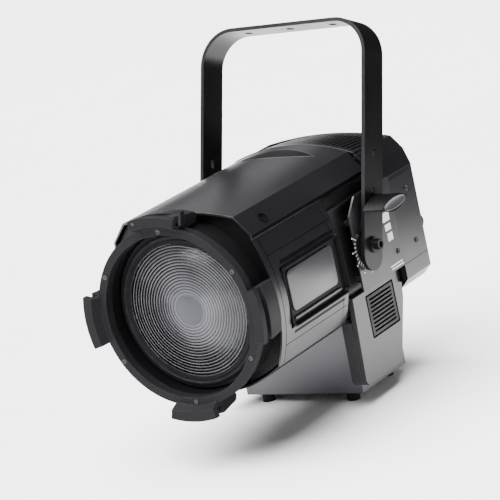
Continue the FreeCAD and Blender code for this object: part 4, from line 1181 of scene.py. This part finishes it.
class SPOT_OT_stage(bpy.types.Operator):
    """Sets the floor, the soft lights and the camera"""

    bl_idname = "spotlight.stage"
    bl_label = "Set the stage"

    def execute(self, context):
        look = context.scene.spotlight_stage
        bpy.ops.object.select_all(action="DESELECT")
        bpy.ops.mesh.primitive_plane_add(size=60.0)
        floor = bpy.context.object
        floor.name = "floor"
        material, tree, shader, place = shade("Pale floor")
        tone = mixed(tree, noise(tree, place, 3.0), (0.86, 0.86, 0.86, 1.0), (0.9, 0.9, 0.9, 1.0))
        tree.links.new(tone, shader.inputs["Base Color"])
        shader.inputs["Roughness"].default_value = 0.75
        floor.data.materials.append(material)

        world = bpy.data.worlds.new("Studio")
        bpy.context.scene.world = world
        world.use_nodes = True
        world.node_tree.nodes["Background"].inputs["Color"].default_value = (0.93, 0.95, 1.0, 1.0)
        sky = world.node_tree
        seen = add_node(sky, "ShaderNodeLightPath").outputs["Is Camera Ray"]
        strength = maths(sky, "MULTIPLY_ADD", seen, look.backdrop, look.ambient)
        sky.links.new(strength, sky.nodes["Background"].inputs["Strength"])

        centre = Vector((0.0, 0.0, 0.24))
        for name, spot, size, power in (
            ("side_light", (3.0, -0.6, 0.9), 2.4, look.key),
            ("front_light", (-1.6, -3.2, 1.4), 1.6, look.fill),
            ("back_light", (-2.1, 2.5, 1.9), 1.6, look.back),
        ):
            bpy.ops.object.light_add(type="AREA", location=spot)
            light = bpy.context.object
            light.name = name
            light.rotation_euler = (centre - Vector(spot)).to_track_quat("-Z", "Y").to_euler()
            light.data.size = size
            light.data.energy = power
            light.visible_camera = False

        bpy.ops.object.light_add(type="SUN", rotation=(math.radians(16.0), math.radians(-10.0), 0.0))
        overhead = bpy.context.object
        overhead.name = "overhead_light"
        overhead.data.angle = math.radians(70.0)
        overhead.data.energy = look.top

        away = Vector(FLAG_WAY).normalized()
        bpy.ops.mesh.primitive_grid_add(x_subdivisions=2, y_subdivisions=2, size=1.0)
        flag = bpy.context.object
        flag.name = "dark_flag"
        place = away * FLAG_DISTANCE + Vector((0.0, 0.0, FLAG_HEIGHT))
        turn = away.to_track_quat("Z", "Y").to_matrix().to_4x4()
        size = Matrix.Diagonal((FLAG_SIZE, FLAG_SIZE, 1.0, 1.0))
        flag.matrix_world = Matrix.Translation(place) @ turn @ size
        flag.visible_camera = flag.visible_diffuse = flag.visible_shadow = flag.visible_transmission = False
        material, tree, shader, place = shade("Flag cloth")
        dark = mixed(tree, noise(tree, place, 400.0), (0.004, 0.004, 0.004, 1.0), (0.01, 0.01, 0.01, 1.0))
        tree.links.new(dark, shader.inputs["Base Color"])
        shader.inputs["Roughness"].default_value = 1.0
        shader.inputs["Specular IOR Level"].default_value = 0.0
        flag.data.materials.append(material)

        bpy.ops.object.camera_add(location=CAMERA_PLACE, rotation=[math.radians(v) for v in CAMERA_TURN])
        camera = bpy.context.object
        camera.name = "camera"
        camera.data.sensor_width = 36.0
        camera.data.lens = look.lens
        camera.data.clip_end = 100.0
        context.scene.camera = camera
        return {"FINISHED"}


# ----------------------------------------------------------------------- panel

ORDER = [
    SPOT_OT_finish_parts,
    SPOT_OT_lens,
    SPOT_OT_lens_holder,
    SPOT_OT_screws,
    SPOT_OT_windows,
    SPOT_OT_seams,
    SPOT_OT_scales,
    SPOT_OT_vents,
    SPOT_OT_trims,
    SPOT_OT_stage,
]


class SPOT_PT_panel(bpy.types.Panel):
    bl_idname = "SPOT_PT_panel"
    bl_label = "Fresnel spotlight"
    bl_space_type = "VIEW_3D"
    bl_region_type = "UI"
    bl_category = "Spotlight"

    def draw(self, context):
        for group in (
            context.scene.spotlight_finish, context.scene.spotlight_lens, context.scene.spotlight_stage
        ):
            for key in group.__annotations__:
                self.layout.prop(group, key)
        for step in ORDER:
            self.layout.operator(step.bl_idname)


CLASSES = [FinishSettings, LensSettings, StageSettings, *ORDER, SPOT_PT_panel]


def register():
    for cls in CLASSES:
        bpy.utils.register_class(cls)
    bpy.types.Scene.spotlight_finish = PointerProperty(type=FinishSettings)
    bpy.types.Scene.spotlight_lens = PointerProperty(type=LensSettings)
    bpy.types.Scene.spotlight_stage = PointerProperty(type=StageSettings)


def unregister():
    del bpy.types.Scene.spotlight_stage
    del bpy.types.Scene.spotlight_lens
    del bpy.types.Scene.spotlight_finish
    for cls in reversed(CLASSES):
        bpy.utils.unregister_class(cls)


def main():
    register()
    for step in ORDER:
        group, name = step.bl_idname.split(".")
        getattr(getattr(bpy.ops, group), name)()


if __name__ == "__main__":
    main()
